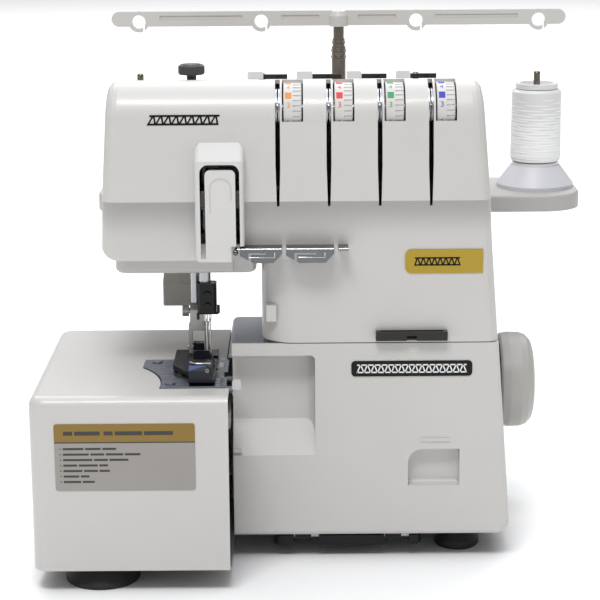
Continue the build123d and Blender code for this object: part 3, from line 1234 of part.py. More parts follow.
def make_all():
    front, rear = make_upper_covers()
    nodes = {
        "base_plate": make_base_plate(),
        "chassis": make_chassis(),
        "front_cover": make_front_cover(front),
        "rear_cover": make_rear_cover(rear),
        "head_sole": make_head_sole(),
        "take_up_guard": make_guard(),
        "side_cover": make_side_cover(),
        "bed_cover": make_bed_cover(),
        "sleeve_cover": make_sleeve(),
        "arm": make_arm() + make_feed_guide(),
        "needle_plate": make_needle_plate(),
        "looper_cover": make_looper_cover(),
        "hinge_rail": make_hinge_rail(),
        "hinge_pin": make_hinge_pin(),
        "bushes": make_bushes(),
        "main_shaft": make_main_shaft(),
        "handwheel": make_handwheel(),
        "motor": make_motor(),
        "motor_rotor": make_motor_rotor(),
        "drive_belt": make_belt(),
        "needle_bar": make_needle_bar(),
        "needle_clamp": make_needle_clamp() + make_clamp_screws() + make_needle_hook(),
        "needles": make_needles(),
        "presser_bar": make_presser_bar(),
        "presser_spring": make_presser_spring(),
        "pressure_nut": make_pressure_nut(),
        "pressure_knob": make_pressure_knob(),
        "presser_shank": make_shank() + make_foot_screw() + make_foot_pin(),
        "presser_foot": make_presser_foot(),
        "presser_lifter": make_lifter(),
        "needle_lever": make_needle_lever(),
        "take_up_lever": make_take_up(),
        "feed_dog_rear": make_feed_rear(),
        "feed_dog_front": make_feed_front(),
        "lower_looper": make_lower_looper(),
        "upper_looper": make_upper_looper(),
        "lower_knife": make_lower_knife() + make_knife_holder(),
        "upper_knife": make_upper_knife(),
        "tension_discs": make_dial_axle() + make_tension_discs(),
        "face_guides": make_face_guides(),
        "seam_guide": make_seam_guide(),
        "top_guides": make_top_guides(),
        "thread_stand": make_stand(),
        "stand_posts": make_stand_pins() + make_pole_outer(),
        "cone_discs": make_cone_discs(),
        "thread_spool": make_spool() + make_thread(),
        "pole_mid": make_pole_mid(),
        "pole_top": make_pole_top(),
        "guide_bar": make_guide_bar(),
        "feet": make_large_foot() + make_feet(),
        "power_inlet": make_inlet() + make_switch_frame(),
        "power_switch": make_switch(),
        "stitch_dial": make_stitch_dial(),
        "feed_lever": make_feed_lever(),
        "lamp": make_lamp(),
        "screws": make_base_screws() + make_cover_screws() + make_plate_screws(),
    }
    for i in range(DIAL_COUNT):
        nodes["thread_dial_%d" % (i + 1)] = make_dial(i)
    return nodes


def export_parts():
    """Write every node as its own STEP file, with the origin at the middle of the base."""
    nodes = make_all()
    boxes = [shape.bounding_box() for shape in nodes.values()]
    mid_x = (min(b.min.X for b in boxes) + max(b.max.X for b in boxes)) / 2
    mid_y = (min(b.min.Y for b in boxes) + max(b.max.Y for b in boxes)) / 2
    os.makedirs("parts", exist_ok=True)
    for name, shape in nodes.items():
        export_step(Pos(-mid_x, -mid_y, 0) * shape, "parts/%s.step" % name)
    print("moved by", round(-mid_x, 4), round(-mid_y, 4), "nodes", len(nodes))


if __name__ == "__main__":
    export_parts()
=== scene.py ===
"""Looks of the serger: materials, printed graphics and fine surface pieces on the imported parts, in metres."""
import math

import bpy
from mathutils import Euler, Matrix, Vector


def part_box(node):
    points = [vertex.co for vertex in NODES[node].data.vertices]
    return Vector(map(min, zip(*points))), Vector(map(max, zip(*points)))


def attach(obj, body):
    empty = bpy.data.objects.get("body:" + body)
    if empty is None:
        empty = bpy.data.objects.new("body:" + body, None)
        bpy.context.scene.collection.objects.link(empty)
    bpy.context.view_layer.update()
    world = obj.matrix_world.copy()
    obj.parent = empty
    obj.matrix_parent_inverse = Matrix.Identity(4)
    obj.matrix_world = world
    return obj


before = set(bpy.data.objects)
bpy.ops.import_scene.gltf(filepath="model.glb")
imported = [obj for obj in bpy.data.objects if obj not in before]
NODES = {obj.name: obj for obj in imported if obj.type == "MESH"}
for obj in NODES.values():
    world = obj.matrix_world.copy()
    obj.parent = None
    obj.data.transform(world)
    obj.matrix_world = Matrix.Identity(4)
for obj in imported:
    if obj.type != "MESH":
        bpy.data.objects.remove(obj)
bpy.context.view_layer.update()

# Offset from the casing's own datum (millimetres) to the row frame.
OX, OY = -12.75, -76.25


def at(x, y, z):
    """A point given in millimetres from the casing's datum."""
    return Vector(((x + OX) / 1000, (y + OY) / 1000, z / 1000))


def box_mm(node):
    """A node's corners in the casing's millimetres: x0, x1, y0, y1, z0, z1."""
    low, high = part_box(node)
    return (low[0] * 1000 - OX, high[0] * 1000 - OX, low[1] * 1000 - OY, high[1] * 1000 - OY,
            low[2] * 1000, high[2] * 1000)


# ---------------------------------------------------------------- materials
def material(name, color, rough=0.4, metal=0.0, coat=0.0, grain=0.05, scale=900.0, vary=0.03,
             stretch=(1, 1, 1), spec=0.5):
    """A surface with fine mottling of its colour and gloss, and a shallow moulded, cast or brushed grain."""
    mat = bpy.data.materials.new(name)
    mat.use_nodes = True
    nodes, links = mat.node_tree.nodes, mat.node_tree.links
    shader = nodes["Principled BSDF"]
    shader.inputs["Metallic"].default_value = metal
    shader.inputs["Coat Weight"].default_value = coat
    shader.inputs["Specular IOR Level"].default_value = spec
    coords = nodes.new("ShaderNodeTexCoord")
    place = nodes.new("ShaderNodeMapping")
    place.inputs["Scale"].default_value = stretch
    fine = nodes.new("ShaderNodeTexNoise")
    fine.inputs["Scale"].default_value = scale
    fine.inputs["Detail"].default_value = 4
    broad = nodes.new("ShaderNodeTexNoise")
    broad.inputs["Scale"].default_value = 22
    ramp = nodes.new("ShaderNodeValToRGB")
    ramp.color_ramp.elements[0].position = 0.3
    ramp.color_ramp.elements[1].position = 0.7
    ramp.color_ramp.elements[0].color = (*[c * (1 - vary) for c in color], 1)
    ramp.color_ramp.elements[1].color = (*[min(c * (1 + vary), 1) for c in color], 1)
    gloss = nodes.new("ShaderNodeMapRange")
    gloss.inputs["To Min"].default_value = max(rough - 0.05, 0.02)
    gloss.inputs["To Max"].default_value = rough + 0.05
    bump = nodes.new("ShaderNodeBump")
    bump.inputs["Strength"].default_value = grain
    bump.inputs["Distance"].default_value = 0.0004
    links.new(coords.outputs["Object"], place.inputs["Vector"])
    links.new(place.outputs["Vector"], fine.inputs["Vector"])
    links.new(coords.outputs["Object"], broad.inputs["Vector"])
    links.new(broad.outputs["Fac"], ramp.inputs["Fac"])
    links.new(ramp.outputs["Color"], shader.inputs["Base Color"])
    links.new(fine.outputs["Fac"], gloss.inputs["Value"])
    links.new(gloss.outputs["Result"], shader.inputs["Roughness"])
    links.new(fine.outputs["Fac"], bump.inputs["Height"])
    links.new(bump.outputs["Normal"], shader.inputs["Normal"])
    return mat


# Stretching the grain along one axis makes brushed lines that run along it.
BRUSH_X = (0.04, 1, 1)
BRUSH_Z = (1, 1, 0.04)

SHELL = material("shell", (0.555, 0.54, 0.52), 0.36, coat=0.15, grain=0.05, scale=1400, vary=0.012)
GUARD = material("guard_shell", (0.605, 0.595, 0.58), 0.34, coat=0.1, vary=0.01)
ARCH = material("guard_line", (0.50, 0.485, 0.465), 0.4, vary=0.02)
BRIGHT = material("shell_bright", (0.68, 0.68, 0.68), 0.34, coat=0.1, vary=0.01)
BED = material("bed_shell", (0.46, 0.48, 0.56), 0.4, grain=0.05, scale=1400, vary=0.012)
STAND = material("stand", (0.40, 0.39, 0.38), 0.45, grain=0.06, vary=0.015)
CONE = material("cone_seat", (0.56, 0.56, 0.59), 0.42, vary=0.012)
WHEEL = material("wheel", (0.40, 0.39, 0.37), 0.42, vary=0.015)
CAST = material("casting", (0.36, 0.365, 0.375), 0.55, metal=0.6, grain=0.35, scale=260, vary=0.08)
PAINTED = material("base_paint", (0.07, 0.072, 0.078), 0.5, grain=0.2, scale=420, vary=0.06)
PLATE = material("plate_steel", (0.30, 0.33, 0.41), 0.27, metal=1.0, grain=0.05, scale=700, vary=0.06,
                 stretch=BRUSH_X)
STEEL = material("steel", (0.40, 0.41, 0.43), 0.28, metal=1.0, grain=0.07, scale=800, vary=0.06,
                 stretch=BRUSH_Z)
SHANK = material("shank_steel", (0.40, 0.40, 0.375), 0.33, metal=0.7, grain=0.1, scale=600, vary=0.08)
POLE = material("pole_steel", (0.20, 0.175, 0.15), 0.24, metal=1.0, grain=0.05, scale=900, vary=0.1,
                stretch=BRUSH_Z)
CHROME = material("chrome", (0.15, 0.155, 0.16), 0.17, metal=1.0, grain=0.02, scale=500, vary=0.1)
NEEDLE = material("needle_steel", (0.70, 0.69, 0.66), 0.2, metal=1.0, grain=0.02, vary=0.04)
FOOT = material("foot_black", (0.006, 0.007, 0.012), 0.2, grain=0.04, scale=500, vary=0.2, spec=0.3)
FOOT_EDGE = material("foot_top", (0.03, 0.055, 0.13), 0.25, metal=0.5, grain=0.04, scale=500, vary=0.15)
BLACK = material("black", (0.007, 0.007, 0.008), 0.3, grain=0.08, scale=700, vary=0.15, spec=0.25)
GUIDE_BLACK = material("guide_black", (0.018, 0.017, 0.017), 0.22, metal=0.3, grain=0.03, vary=0.15, spec=0.4)
RUBBER = material("rubber", (0.008, 0.008, 0.008), 0.6, grain=0.3, scale=900, vary=0.2)
GREY = material("grey", (0.46, 0.445, 0.41), 0.5, grain=0.1, scale=900, vary=0.03)
KNOB = material("knob", (0.055, 0.053, 0.05), 0.42, grain=0.12, scale=800, vary=0.1)
BRONZE = material("bronze", (0.45, 0.30, 0.12), 0.4, metal=1.0, grain=0.15, scale=600, vary=0.08)
LAMP = material("lamp_glass", (0.85, 0.83, 0.76), 0.18, coat=0.6, grain=0.02, vary=0.02)
DRUM = material("drum", (0.60, 0.585, 0.57), 0.45, grain=0.04, vary=0.01)
THREAD = material("thread", (0.86, 0.86, 0.86), 0.75, grain=0.5, scale=2600, vary=0.02, stretch=(1, 1, 3))
INK = material("ink", (0.006, 0.006, 0.006), 0.4, grain=0.03, vary=0.1, spec=0.2)
WHITE_INK = material("white_ink", (0.80, 0.80, 0.80), 0.5, grain=0.03)
YELLOW = material("label_yellow", (0.40, 0.27, 0.012), 0.42, grain=0.04, vary=0.03)
GOLD = material("label_gold", (0.24, 0.145, 0.02), 0.42, grain=0.04, vary=0.03)
LABEL_GREY = material("label_grey", (0.31, 0.29, 0.27), 0.45, grain=0.04, vary=0.02)
BAR_INK = material("label_print", (0.04, 0.037, 0.033), 0.5, grain=0.03, vary=0.1)
DIAL_INKS = [
    material("mark_orange", (0.68, 0.22, 0.015), 0.5, vary=0.04),
    material("mark_red", (0.62, 0.008, 0.014), 0.5, vary=0.04),
    material("mark_green", (0.008, 0.28, 0.085), 0.5, vary=0.04),
    material("mark_blue", (0.008, 0.018, 0.38), 0.5, vary=0.04),
]

PAINT = {
    SHELL: "front_cover rear_cover looper_cover sleeve_cover side_cover head_sole guide_bar",
    BED: "bed_cover",
    GUARD: "take_up_guard",
    BRIGHT: "top_guides thread_spool",
    STAND: "thread_stand",
    CONE: "cone_discs",
    WHEEL: "handwheel",
    CAST: "chassis arm",
    PAINTED: "base_plate motor",
    PLATE: "needle_plate",
    STEEL: "main_shaft motor_rotor needle_bar presser_bar lower_looper upper_looper feed_dog_front "
           "feed_dog_rear tension_discs needle_lever screws hinge_pin",
    SHANK: "presser_shank upper_knife lower_knife",
    POLE: "stand_posts pole_mid pole_top",
    CHROME: "face_guides presser_spring",
    NEEDLE: "needles",
    FOOT: "presser_foot",
    BLACK: "needle_clamp hinge_rail power_inlet power_switch stitch_dial feed_lever",
    GUIDE_BLACK: "seam_guide",
    KNOB: "pressure_knob take_up_lever",
    RUBBER: "feet drive_belt",
    GREY: "presser_lifter pressure_nut",
    BRONZE: "bushes",
    LAMP: "lamp",
    DRUM: "thread_dial_1 thread_dial_2 thread_dial_3 thread_dial_4",
}


def paint(obj, mat):
    obj.data.materials.clear()
    obj.data.materials.append(mat)


def repaint(node, mat, test):
    """Gives the faces whose middle passes the test (in the casing's millimetres) another material."""
    mesh = NODES[node].data
    mesh.materials.append(mat)
    slot = len(mesh.materials) - 1
    for poly in mesh.polygons:
        x, y, z = poly.center
        if test(x * 1000 - OX, y * 1000 - OY, z * 1000):
            poly.material_index = slot


def smooth(obj, angle=30):
    """Shades the surface smooth except across real edges."""
    mesh = obj.data
    edges = {}
    for poly in mesh.polygons:
        poly.use_smooth = True
        for key in poly.edge_keys:
            edges.setdefault(key, []).append(poly.normal.copy())
    limit = math.cos(math.radians(angle))
    for edge in mesh.edges:
        normals = edges.get(tuple(sorted(edge.vertices)), ())
        edge.use_edge_sharp = len(normals) != 2 or normals[0].dot(normals[1]) < limit


for mat, names in PAINT.items():
    for name in names.split():
        paint(NODES[name], mat)
        smooth(NODES[name])


# ---------------------------------------------------------------- mesh helpers
def mesh_object(name, verts, faces, mat, body="machine", rides=True):
    mesh = bpy.data.meshes.new(name)
    mesh.from_pydata([tuple(v) for v in verts], [], faces)
    mesh.update()
    obj = bpy.data.objects.new(name, mesh)
    bpy.context.collection.objects.link(obj)
    mesh.materials.append(mat)
    if rides:
        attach(obj, body)
    return obj


def rounded(w, h, r, corners=(1, 1, 1, 1), steps=6):
    """Outline of a rectangle centred on 0, 0; corners are low left, low right, high right, high left."""
    points = []
    for i, (sx, sy) in enumerate(((-1, -1), (1, -1), (1, 1), (-1, 1))):
        radius = r if corners[i] else 0.01
        cx, cy = sx * (w / 2 - radius), sy * (h / 2 - radius)
        for k in range(steps + 1):
            a = math.radians((180, 270, 0, 90)[i] + 90 * k / steps)
            points.append((cx + radius * math.cos(a), cy + radius * math.sin(a)))
    return points


def slabs(name, outlines, place, thick, mat, body="machine"):
    """Thin plates in one object: each outline in u, v (mm) is put in space by place(u, v, depth)."""
    verts, faces = [], []
    for outline in outlines:
        n, base = len(outline), len(verts)
        verts += [place(u, v, 0.0) for u, v in outline] + [place(u, v, thick) for u, v in outline]
        faces.append(tuple(base + i for i in range(n - 1, -1, -1)))
        faces.append(tuple(base + n + i for i in range(n)))
        faces += [(base + i, base + (i + 1) % n, base + n + (i + 1) % n, base + n + i) for i in range(n)]
    return mesh_object(name, verts, faces, mat, body)


def bar(x0, x1, y0, y1):
    return [(x0, y0), (x1, y0), (x1, y1), (x0, y1)]


def stitches(width, height, count, line):
    """A generic row of overlock stitches: slanted strokes between two rails."""
    shapes = [bar(-width / 2, width / 2, height / 2 - line, height / 2),
              bar(-width / 2, width / 2, -height / 2, -height / 2 + line)]
    step = width / count
    for i in range(count):
        x = -width / 2 + i * step
        for low, high in ((x, x + step / 2), (x + step, x + step / 2)):
            shapes.append([(low - line / 2, -height / 2), (low + line / 2, -height / 2),
                           (high + line / 2, height / 2), (high - line / 2, height / 2)])
    return shapes


def turned(name, profile, x, y, mat, body, sides=64):
    """A surface turned about a vertical axis from (radius, height) points."""
    verts, faces = [], []
    for r, z in profile:
        for k in range(sides):
            a = 2 * math.pi * k / sides
            verts.append(at(x + r * math.cos(a), y + r * math.sin(a), z))
    for j in range(len(profile) - 1):
        for k in range(sides):
            a, b = j * sides + k, j * sides + (k + 1) % sides
            faces.append((a, b, b + sides, a + sides))
    faces.append(tuple(range(sides - 1, -1, -1)))
    faces.append(tuple((len(profile) - 1) * sides + k for k in range(sides)))
    obj = mesh_object(name, verts, faces, mat, body)
    smooth(obj, 40)
    return obj


def on_front(x, y, z, lean=0.0):
    """Places things on a front face, its middle at x, y, z; lean is mm back per mm of height."""
    return lambda u, v, d: at(x + u, y - d + lean * v, z + v)


# ---------------------------------------------------------------- printed graphics
# The head's front: it leans back from the crease, then turns over in the shoulder's arc.
CREASE_Z, CREASE_Y, LEAN = 227.0, -8.0, 5.5
SHOULDER_Y, SHOULDER_Z, SHOULDER_R = 20.2, 272.8, 22.7
GLUE = 0.02                         # gap under a label, so that two faces never share a plane


def head_face_y(z):
    """y of the head's front face above the crease."""
    if z < SHOULDER_Z:
        return CREASE_Y + LEAN * (z - CREASE_Z) / (SHOULDER_Z - CREASE_Z)
    return SHOULDER_Y - math.sqrt(SHOULDER_R ** 2 - (z - SHOULDER_Z) ** 2)


def door_badge():
    x, z, thick = 65.4, 122.6, 0.45
    slabs("badge", [rounded(73, 9.6, 2.4)], on_front(x, -GLUE, z), thick, INK, "door")
    slabs("badge_motif", stitches(66, 5.4, 16, 0.8), on_front(x, -GLUE - thick, z), 0.06, WHITE_INK, "door")


def yellow_label():
    front, lean, thick = -0.42, -0.03, 0.3
    place = on_front(84.2, front, 188.75, lean)
    slabs("yellow_label", [rounded(46.4, 14.5, 4, (1, 0, 0, 1))], place, thick, YELLOW)
    slabs("yellow_motif", stitches(27, 5.2, 8, 0.9), lambda u, v, d: place(u - 4, v, d + thick), 0.06, INK)


def sleeve_label():
    """Label on the sleeve's front: a gold header with bars, and rows of bars in place of words."""
    x, z, y = -104.3, 84.4, -51.5
    width, height, header, thick = 82, 40.8, 11.4, 0.25
    base = y - GLUE
    slabs("sleeve_label", [rounded(width, height, 1.6)], on_front(x, base, z), thick, LABEL_GREY, "sleeve")
    slabs("sleeve_header", [rounded(width, header, 1.6, (0, 0, 1, 1))],
          on_front(x, base - thick, z + (height - header) / 2), 0.05, GOLD, "sleeve")
    slabs("sleeve_rule", [bar(-width / 2, width / 2, -0.35, 0.35)],
          on_front(x, base - thick, z + 9.1), 0.06, BAR_INK, "sleeve")
    shapes, left = [], -35.5
    for word in (6.5, 16, 1, 6.5, 17, 18):
        if word > 1:
            shapes.append(bar(left, left + word - 1.2, 13.5, 15.9))
        left += word
    rows = ((13, 10, 9), (16, 9, 11, 10), (18, 9, 12), (9, 12, 6), (12, 9, 7), (10, 6), (11, 8))
    pitch, half = 3.35, 0.62
    for row, words in enumerate(rows):
        left, v = -36.0, 5.3 - row * pitch
        shapes.append(bar(left - 2.0, left - 1.2, v - 0.3, v + 0.3))
        for word in words:
            shapes.append(bar(left, left + word - 1.0, v - half, v + half))
            left += word
    slabs("sleeve_print", shapes, on_front(x, base - thick - 0.05, z), 0.05, BAR_INK, "sleeve")


def head_motif():
    def place(u, v, d):
        z = 274.6 + v
        return at(-69 + u + 0.22 * v, head_face_y(z) - GLUE - d, z)
    slabs("head_motif", stitches(41, 6.0, 9, 1.1), place, 0.2, INK)


def guard_arch():
    """Thin raised arch on the guard's tongue."""
    half, width, low, top = 6.2, 0.55, 221.0, 242.0
    turn = [math.radians(a) for a in range(0, 181, 12)]
    path = [(-half, low)]
    path += [(-half * math.cos(a), top - half + half * math.sin(a)) for a in turn]
    path += [(half, low + 8)]
    shapes = []
    for (u0, v0), (u1, v1) in zip(path, path[1:]):
        length = math.hypot(u1 - u0, v1 - v0)
        nx, ny = (v1 - v0) / length * width / 2, -(u1 - u0) / length * width / 2
        shapes.append([(u0 - nx, v0 - ny), (u0 + nx, v0 + ny), (u1 + nx, v1 + ny), (u1 - nx, v1 - ny)])

    def place(u, v, d):
        y = -16 + (240 - v) * 2 / 48 if v < 240 else -16 + (v - 240) / 12
        return at(-47.7 + u, y - d, v)
    slabs("guard_arch", shapes, place, 0.22, ARCH)


def glyph(text, size):
    """Flat mesh of a character, centred on 0, 0: vertices in mm and faces."""
    curve = bpy.data.curves.new("glyph", "FONT")
    curve.body = text
    curve.size = size
    curve.align_x, curve.align_y = "CENTER", "CENTER"
    curve.resolution_u = 3
    obj = bpy.data.objects.new("glyph", curve)
    bpy.context.collection.objects.link(obj)
    mesh = bpy.data.meshes.new_from_object(obj)
    verts = [(v.co.x, v.co.y) for v in mesh.vertices]
    faces = [tuple(p.vertices) for p in mesh.polygons]
    bpy.data.objects.remove(obj)
    bpy.data.curves.remove(curve)
    bpy.data.meshes.remove(mesh)
    return verts, faces


DRUM_NUMBERS = {"0": -111, "1": -69, "2": -27, "3": 14, "4": 61, "5": 104}
DRUM_BLOCKS = (37, 84)


def dial_faces():
    for i in range(4):
        node = "thread_dial_%d" % (i + 1)
        x0, x1, y0, y1, z0, z1 = box_mm(node)
        y, z, r = (y0 + y1) / 2, (z0 + z1) / 2, (z1 - z0) / 2
        x = x0 + (x1 - x0) * 0.27

        def on_drum(u, v, angle, lift):
            a = math.radians(angle) + v / r
            return at(x + u, y - (r + lift) * math.cos(a), z + (r + lift) * math.sin(a))
        verts, faces = [], []
        for text, angle in DRUM_NUMBERS.items():
            points, polys = glyph(text, 4.6)
            base = len(verts)
            verts += [on_drum(u, v, angle, 0.06) for u, v in points]
            faces += [tuple(base + k for k in poly) for poly in polys]
        for angle in DRUM_BLOCKS:
            base = len(verts)
            rows = 5
            for k in range(rows):
                v = -2.1 + 4.2 * k / (rows - 1)
                verts += [on_drum(-1.9, v, angle, 0.06), on_drum(1.9, v, angle, 0.06)]
            faces += [tuple(base + 2 * k + step for step in (0, 1, 3, 2)) for k in range(rows - 1)]
        mesh_object("dial_print_%d" % (i + 1), verts, faces, DIAL_INKS[i], "dial_%d" % (i + 1))


# ---------------------------------------------------------------- fine pieces
def thread_winding():
    """Cross-wound thread over the spool's own thread body."""
    x0, x1, y0, y1, z0, z1 = box_mm("thread_spool")
    x, y = (x0 + x1) / 2, (y0 + y1) / 2
    low, high, sides, rows = z0 + 3.1, z1 - 3.9, 96, 120
    verts, faces = [], []
    for j in range(rows + 1):
        t = j / rows
        z = low + (high - low) * t
        foot = 0.5 * math.sin(math.pi * min(t * 12, 1) / 2)
        shoulder = 2.6 * max(0, t - 0.965) / 0.035
        radius = 16.3 - 0.5 * t + foot - shoulder
        for k in range(sides):
            a = 2 * math.pi * k / sides
            wind = abs(math.sin(math.pi * z / 1.9 + a)) + 0.7 * abs(math.sin(math.pi * z / 3.1 - a))
            r = radius + 0.16 * wind
            verts.append(at(x + r * math.cos(a), y + r * math.sin(a), z))
    for j in range(rows):
        for k in range(sides):
            a, b = j * sides + k, j * sides + (k + 1) % sides
            faces.append((a, b, b + sides, a + sides))
    faces += [tuple(range(sides - 1, -1, -1)), tuple(rows * sides + k for k in range(sides))]
    smooth(mesh_object("thread_winding", verts, faces, THREAD, "spool"), 50)


def knob_knurl():
    """Grip ribs round the pressure knob."""
    x0, x1, y0, y1, z0, z1 = box_mm("pressure_knob")
    x, y, r, ribs = (x0 + x1) / 2, (y0 + y1) / 2, (x1 - x0) / 2, 26
    outline = []
    for k in range(ribs):
        for part, rise in ((0.0, 0.0), (0.3, 0.42), (0.7, 0.42)):
            a = 2 * math.pi * (k + part) / ribs
            outline.append(((r - 0.05 + rise) * math.cos(a), (r - 0.05 + rise) * math.sin(a)))
    slabs("knob_knurl", [outline], lambda u, v, d: at(x + u, y + v, z1 - 5.2 + d), 4.2, KNOB,
          "pressure_screw")
    turned("knob_top", [(5.8, z1 - 0.1), (5.6, z1 + 0.35), (4.4, z1 + 0.35), (4.0, z1 + 0.1)], x, y, KNOB,
           "pressure_screw", 40)


def stud(name, x, y, z, r, length, mat, body):
    """Round slotted stud that points to the front."""
    ring = [(r * math.cos(math.radians(a)), r * math.sin(math.radians(a))) for a in range(0, 360, 15)]
    slabs(name, [ring], on_front(x, y, z), length, mat, body)
    slot = bar(-r * 0.85, r * 0.85, -r * 0.16, r * 0.16)
    slabs(name + "_slot", [slot], on_front(x, y - length, z), 0.02, INK, body)


def wire(name, points, radius, mat, body, bent=True):
    """Wire through the points: one smooth bend, or straight runs."""
    curve = bpy.data.curves.new(name, "CURVE")
    curve.dimensions = "3D"
    curve.bevel_depth = radius / 1000
    curve.bevel_resolution = 3
    curve.use_fill_caps = True
    spline = curve.splines.new("NURBS" if bent else "POLY")
    spline.points.add(len(points) - 1)
    for point, co in zip(spline.points, points):
        point.co = (*at(*co), 1)
    if bent:
        spline.order_u = 3
        spline.use_endpoint_u = True
    curve.materials.append(mat)
    obj = bpy.data.objects.new(name, curve)
    bpy.context.collection.objects.link(obj)
    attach(obj, body)
    return obj


def painted_guide_highlights():
    """Painted highlights: bright steel wires along the top front edges and slot rims of the chromed thread
    guides, in place of the glints there.
    """
    front, top, slot_z = -12.9, 199.4, 194.4
    # Painted highlight: a bright wire along each guide's top front edge.
    for i, (x0, x1) in enumerate(((-38.6, -12.5), (-9.5, 18.3), (21.3, 26.7))):
        wire("guide_highlight_%d" % i, [(x0, front, top), (x1, front, top)], 0.42, NEEDLE, "machine", False)
    # Painted highlight: bright wires round the slot rims.
    y = front - 0.2
    for i, (x0, x1) in enumerate(((-31.5, -16.5), (-2.7, 13.1))):
        corner = [(x0, y, slot_z), (x1, y, slot_z), (x1, y, slot_z + 3)]
        wire("guide_slot_highlight_%d" % i, corner, 0.3, NEEDLE, "machine", False)


def foot_details():
    low, high = box_mm("presser_foot")[4:]
    stud("foot_screw_head", -56.6, -28.9, low + 8.2, 1.3, 0.5, CHROME, "foot")
    wire("foot_wire", [(-67, -20, high + 0.5), (-66, -24, high + 0.7), (-60, -25, high + 0.7),
                       (-55, -23, high + 0.4)], 0.55, NEEDLE, "foot")
    wire("foot_guide", [(-62.5, 4, low + 3.4), (-62.5, 8, low + 8), (-59, 10, low + 10), (-55, 8, low + 8.4),
                        (-54.2, 5, low + 3.4)], 0.6, GUIDE_BLACK, "foot")
    slabs("foot_spring", [rounded(9.5, 8, 1.0)], on_front(-61, -2, low + 9.5), 1.4, FOOT, "foot")


def door_details():
    """Latch tab and stop on the left edge of the looper cover."""
    slabs("door_tab", [rounded(5.2, 5.6, 0.8)], on_front(-40.5, 0.4, 113.5), 3.2, BRIGHT, "door")
    slabs("door_stop", [rounded(5.2, 2.6, 0.6)], on_front(-40.5, 0.4, 71.6), 1.8, SHELL, "door")


POLE_X = 25.0
POST_TOP, POST_R = 299.0, 4.7       # the fixed tube of the pole


def pole_rings():
    """Turned collars where the pole's tubes slide into each other."""
    x0, x1, y0, y1, low, high = box_mm("pole_mid")
    y = (y0 + y1) / 2
    for body, top, r, extra in (("machine", POST_TOP, POST_R, 0.5), ("tube_mid", high, (x1 - x0) / 2, 0.45)):
        for z in (top - 3.2, top - 7.5):
            profile = [(r - 0.1, z), (r + extra, z + 0.4), (r + extra, z + 1.4), (r - 0.1, z + 1.8)]
            turned("%s_ring_%d" % (body, z), profile, POLE_X, y, POLE, body, 40)


door_badge()
yellow_label()
sleeve_label()
head_motif()
guard_arch()
dial_faces()
thread_winding()
knob_knurl()
foot_details()
door_details()
pole_rings()
painted_guide_highlights()
PLATES_X = ((-22.9, -8), (6.7, 24.2), (36.3, 52), (65.7, 82))
repaint("top_guides", GUIDE_BLACK, lambda x, y, z: any(a < x < b for a, b in PLATES_X))
repaint("presser_foot", FOOT_EDGE, lambda x, y, z: y < -24 and z > 131.5)
repaint("looper_cover", BLACK, lambda x, y, z: z < 18.7 and y > 3)


def crease_painted_shade():
    """Painted shade: the front faces below the crease get a darker copy of the shell, fading out downwards, in
    place of the shade under the crease.
    """
    mat = SHELL.copy()
    mat.name = "shell_painted_shade"
    nodes, links = mat.node_tree.nodes, mat.node_tree.links
    shader = nodes["Principled BSDF"]
    before = shader.inputs["Base Color"].links[0].from_socket
    coords = nodes.new("ShaderNodeTexCoord")
    split = nodes.new("ShaderNodeSeparateXYZ")
    fade = nodes.new("ShaderNodeMapRange")
    fade.interpolation_type = "SMOOTHSTEP"
    fade.inputs["From Min"].default_value = 0.203
    fade.inputs["From Max"].default_value = 0.226
    fade.inputs["To Min"].default_value = 1.0
    fade.inputs["To Max"].default_value = 0.66
    scale = nodes.new("ShaderNodeVectorMath")
    scale.operation = "SCALE"
    links.new(coords.outputs["Object"], split.inputs["Vector"])
    links.new(split.outputs["Z"], fade.inputs["Value"])
    links.new(before, scale.inputs[0])
    links.new(fade.outputs["Result"], scale.inputs["Scale"])
    links.new(scale.outputs["Vector"], shader.inputs["Base Color"])
    # Painted shade goes on the front faces just below the crease.
    mesh = NODES["front_cover"].data
    mesh.materials.append(mat)
    slot = len(mesh.materials) - 1
    for poly in mesh.polygons:
        x, y, z = poly.center
        below = 0.15 < z < CREASE_Z / 1000 and y * 1000 - OY < 6
        if below and poly.normal.z < -0.02 and poly.normal.y < -0.5:
            poly.material_index = slot
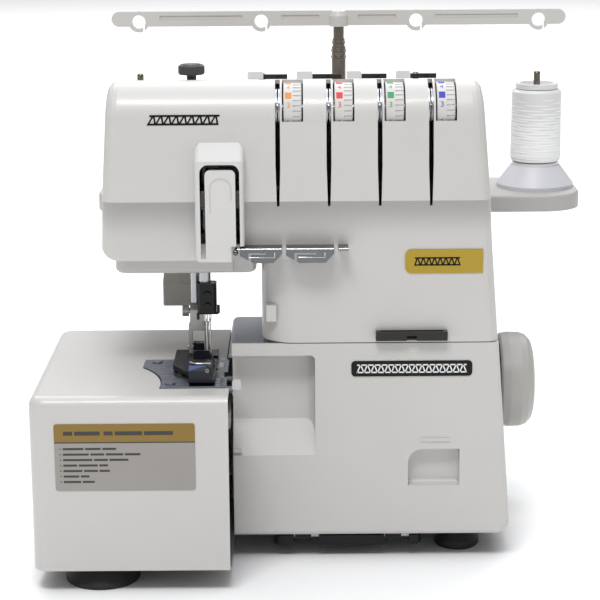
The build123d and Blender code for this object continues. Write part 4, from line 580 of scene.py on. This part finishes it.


# Paints the shade below the crease onto the front cover.
crease_painted_shade()
EDGE_WIDTHS = {"needle_clamp": 1.6, "presser_lifter": 2.2, "presser_shank": 0.4, "top_guides": 0.4}
for name, width in EDGE_WIDTHS.items():
    bevel = NODES[name].modifiers.new("edge", "BEVEL")
    bevel.width = width / 1000
    bevel.segments = 3
    bevel.limit_method = "ANGLE"
    bevel.angle_limit = math.radians(50)

# ---------------------------------------------------------------- camera, light and floor
scene = bpy.context.scene
camera_data = bpy.data.cameras.new("camera")
camera_data.lens = 114
camera_data.sensor_width = 36
camera_data.shift_x = -3 / 600
camera_data.clip_end = 50
camera = bpy.data.objects.new("camera", camera_data)
camera.location = at(0, -1106, 431)
PITCH, ROLL = 13.5, -0.4            # degrees: looking down, and the slight roll
aim = Euler((math.radians(90 - PITCH), 0, 0)).to_matrix() @ Matrix.Rotation(math.radians(ROLL), 3, "Z")
camera.rotation_euler = aim.to_euler()
scene.collection.objects.link(camera)
scene.camera = camera

world = bpy.data.worlds.new("studio")
world.use_nodes = True
world.node_tree.nodes["Background"].inputs["Color"].default_value = (1, 1, 1, 1)
world.node_tree.nodes["Background"].inputs["Strength"].default_value = 0.40
scene.world = world
scene.view_settings.view_transform = "Standard"


def area(name, place, target, size, power, color=(1, 1, 1)):
    data = bpy.data.lights.new(name, "AREA")
    data.shape = "RECTANGLE"
    data.size, data.size_y = size
    data.energy = power
    data.color = color
    lamp = bpy.data.objects.new(name, data)
    lamp.location = place
    lamp.rotation_euler = (Vector(target) - Vector(place)).to_track_quat("-Z", "Y").to_euler()
    scene.collection.objects.link(lamp)


area("key", (-0.25, -1.1, 1.9), (0, 0, 0.15), (0.9, 0.5), 24)
area("top", (0.1, 0.1, 1.9), (0, 0.1, 0.1), (1.6, 1.2), 12, (0.86, 0.91, 1.0))
area("back", (0.0, 2.4, 2.2), (0, 2.0, 0.0), (4.0, 2.5), 90)

FLOOR = material("floor", (0.96, 0.96, 0.96), 0.9, grain=0.0, vary=0.0)
HALF = 6
corners = [(-HALF, -HALF, 0), (HALF, -HALF, 0), (HALF, HALF, 0), (-HALF, HALF, 0)]
floor = mesh_object("floor", corners, [(0, 1, 2, 3)], FLOOR, rides=False)
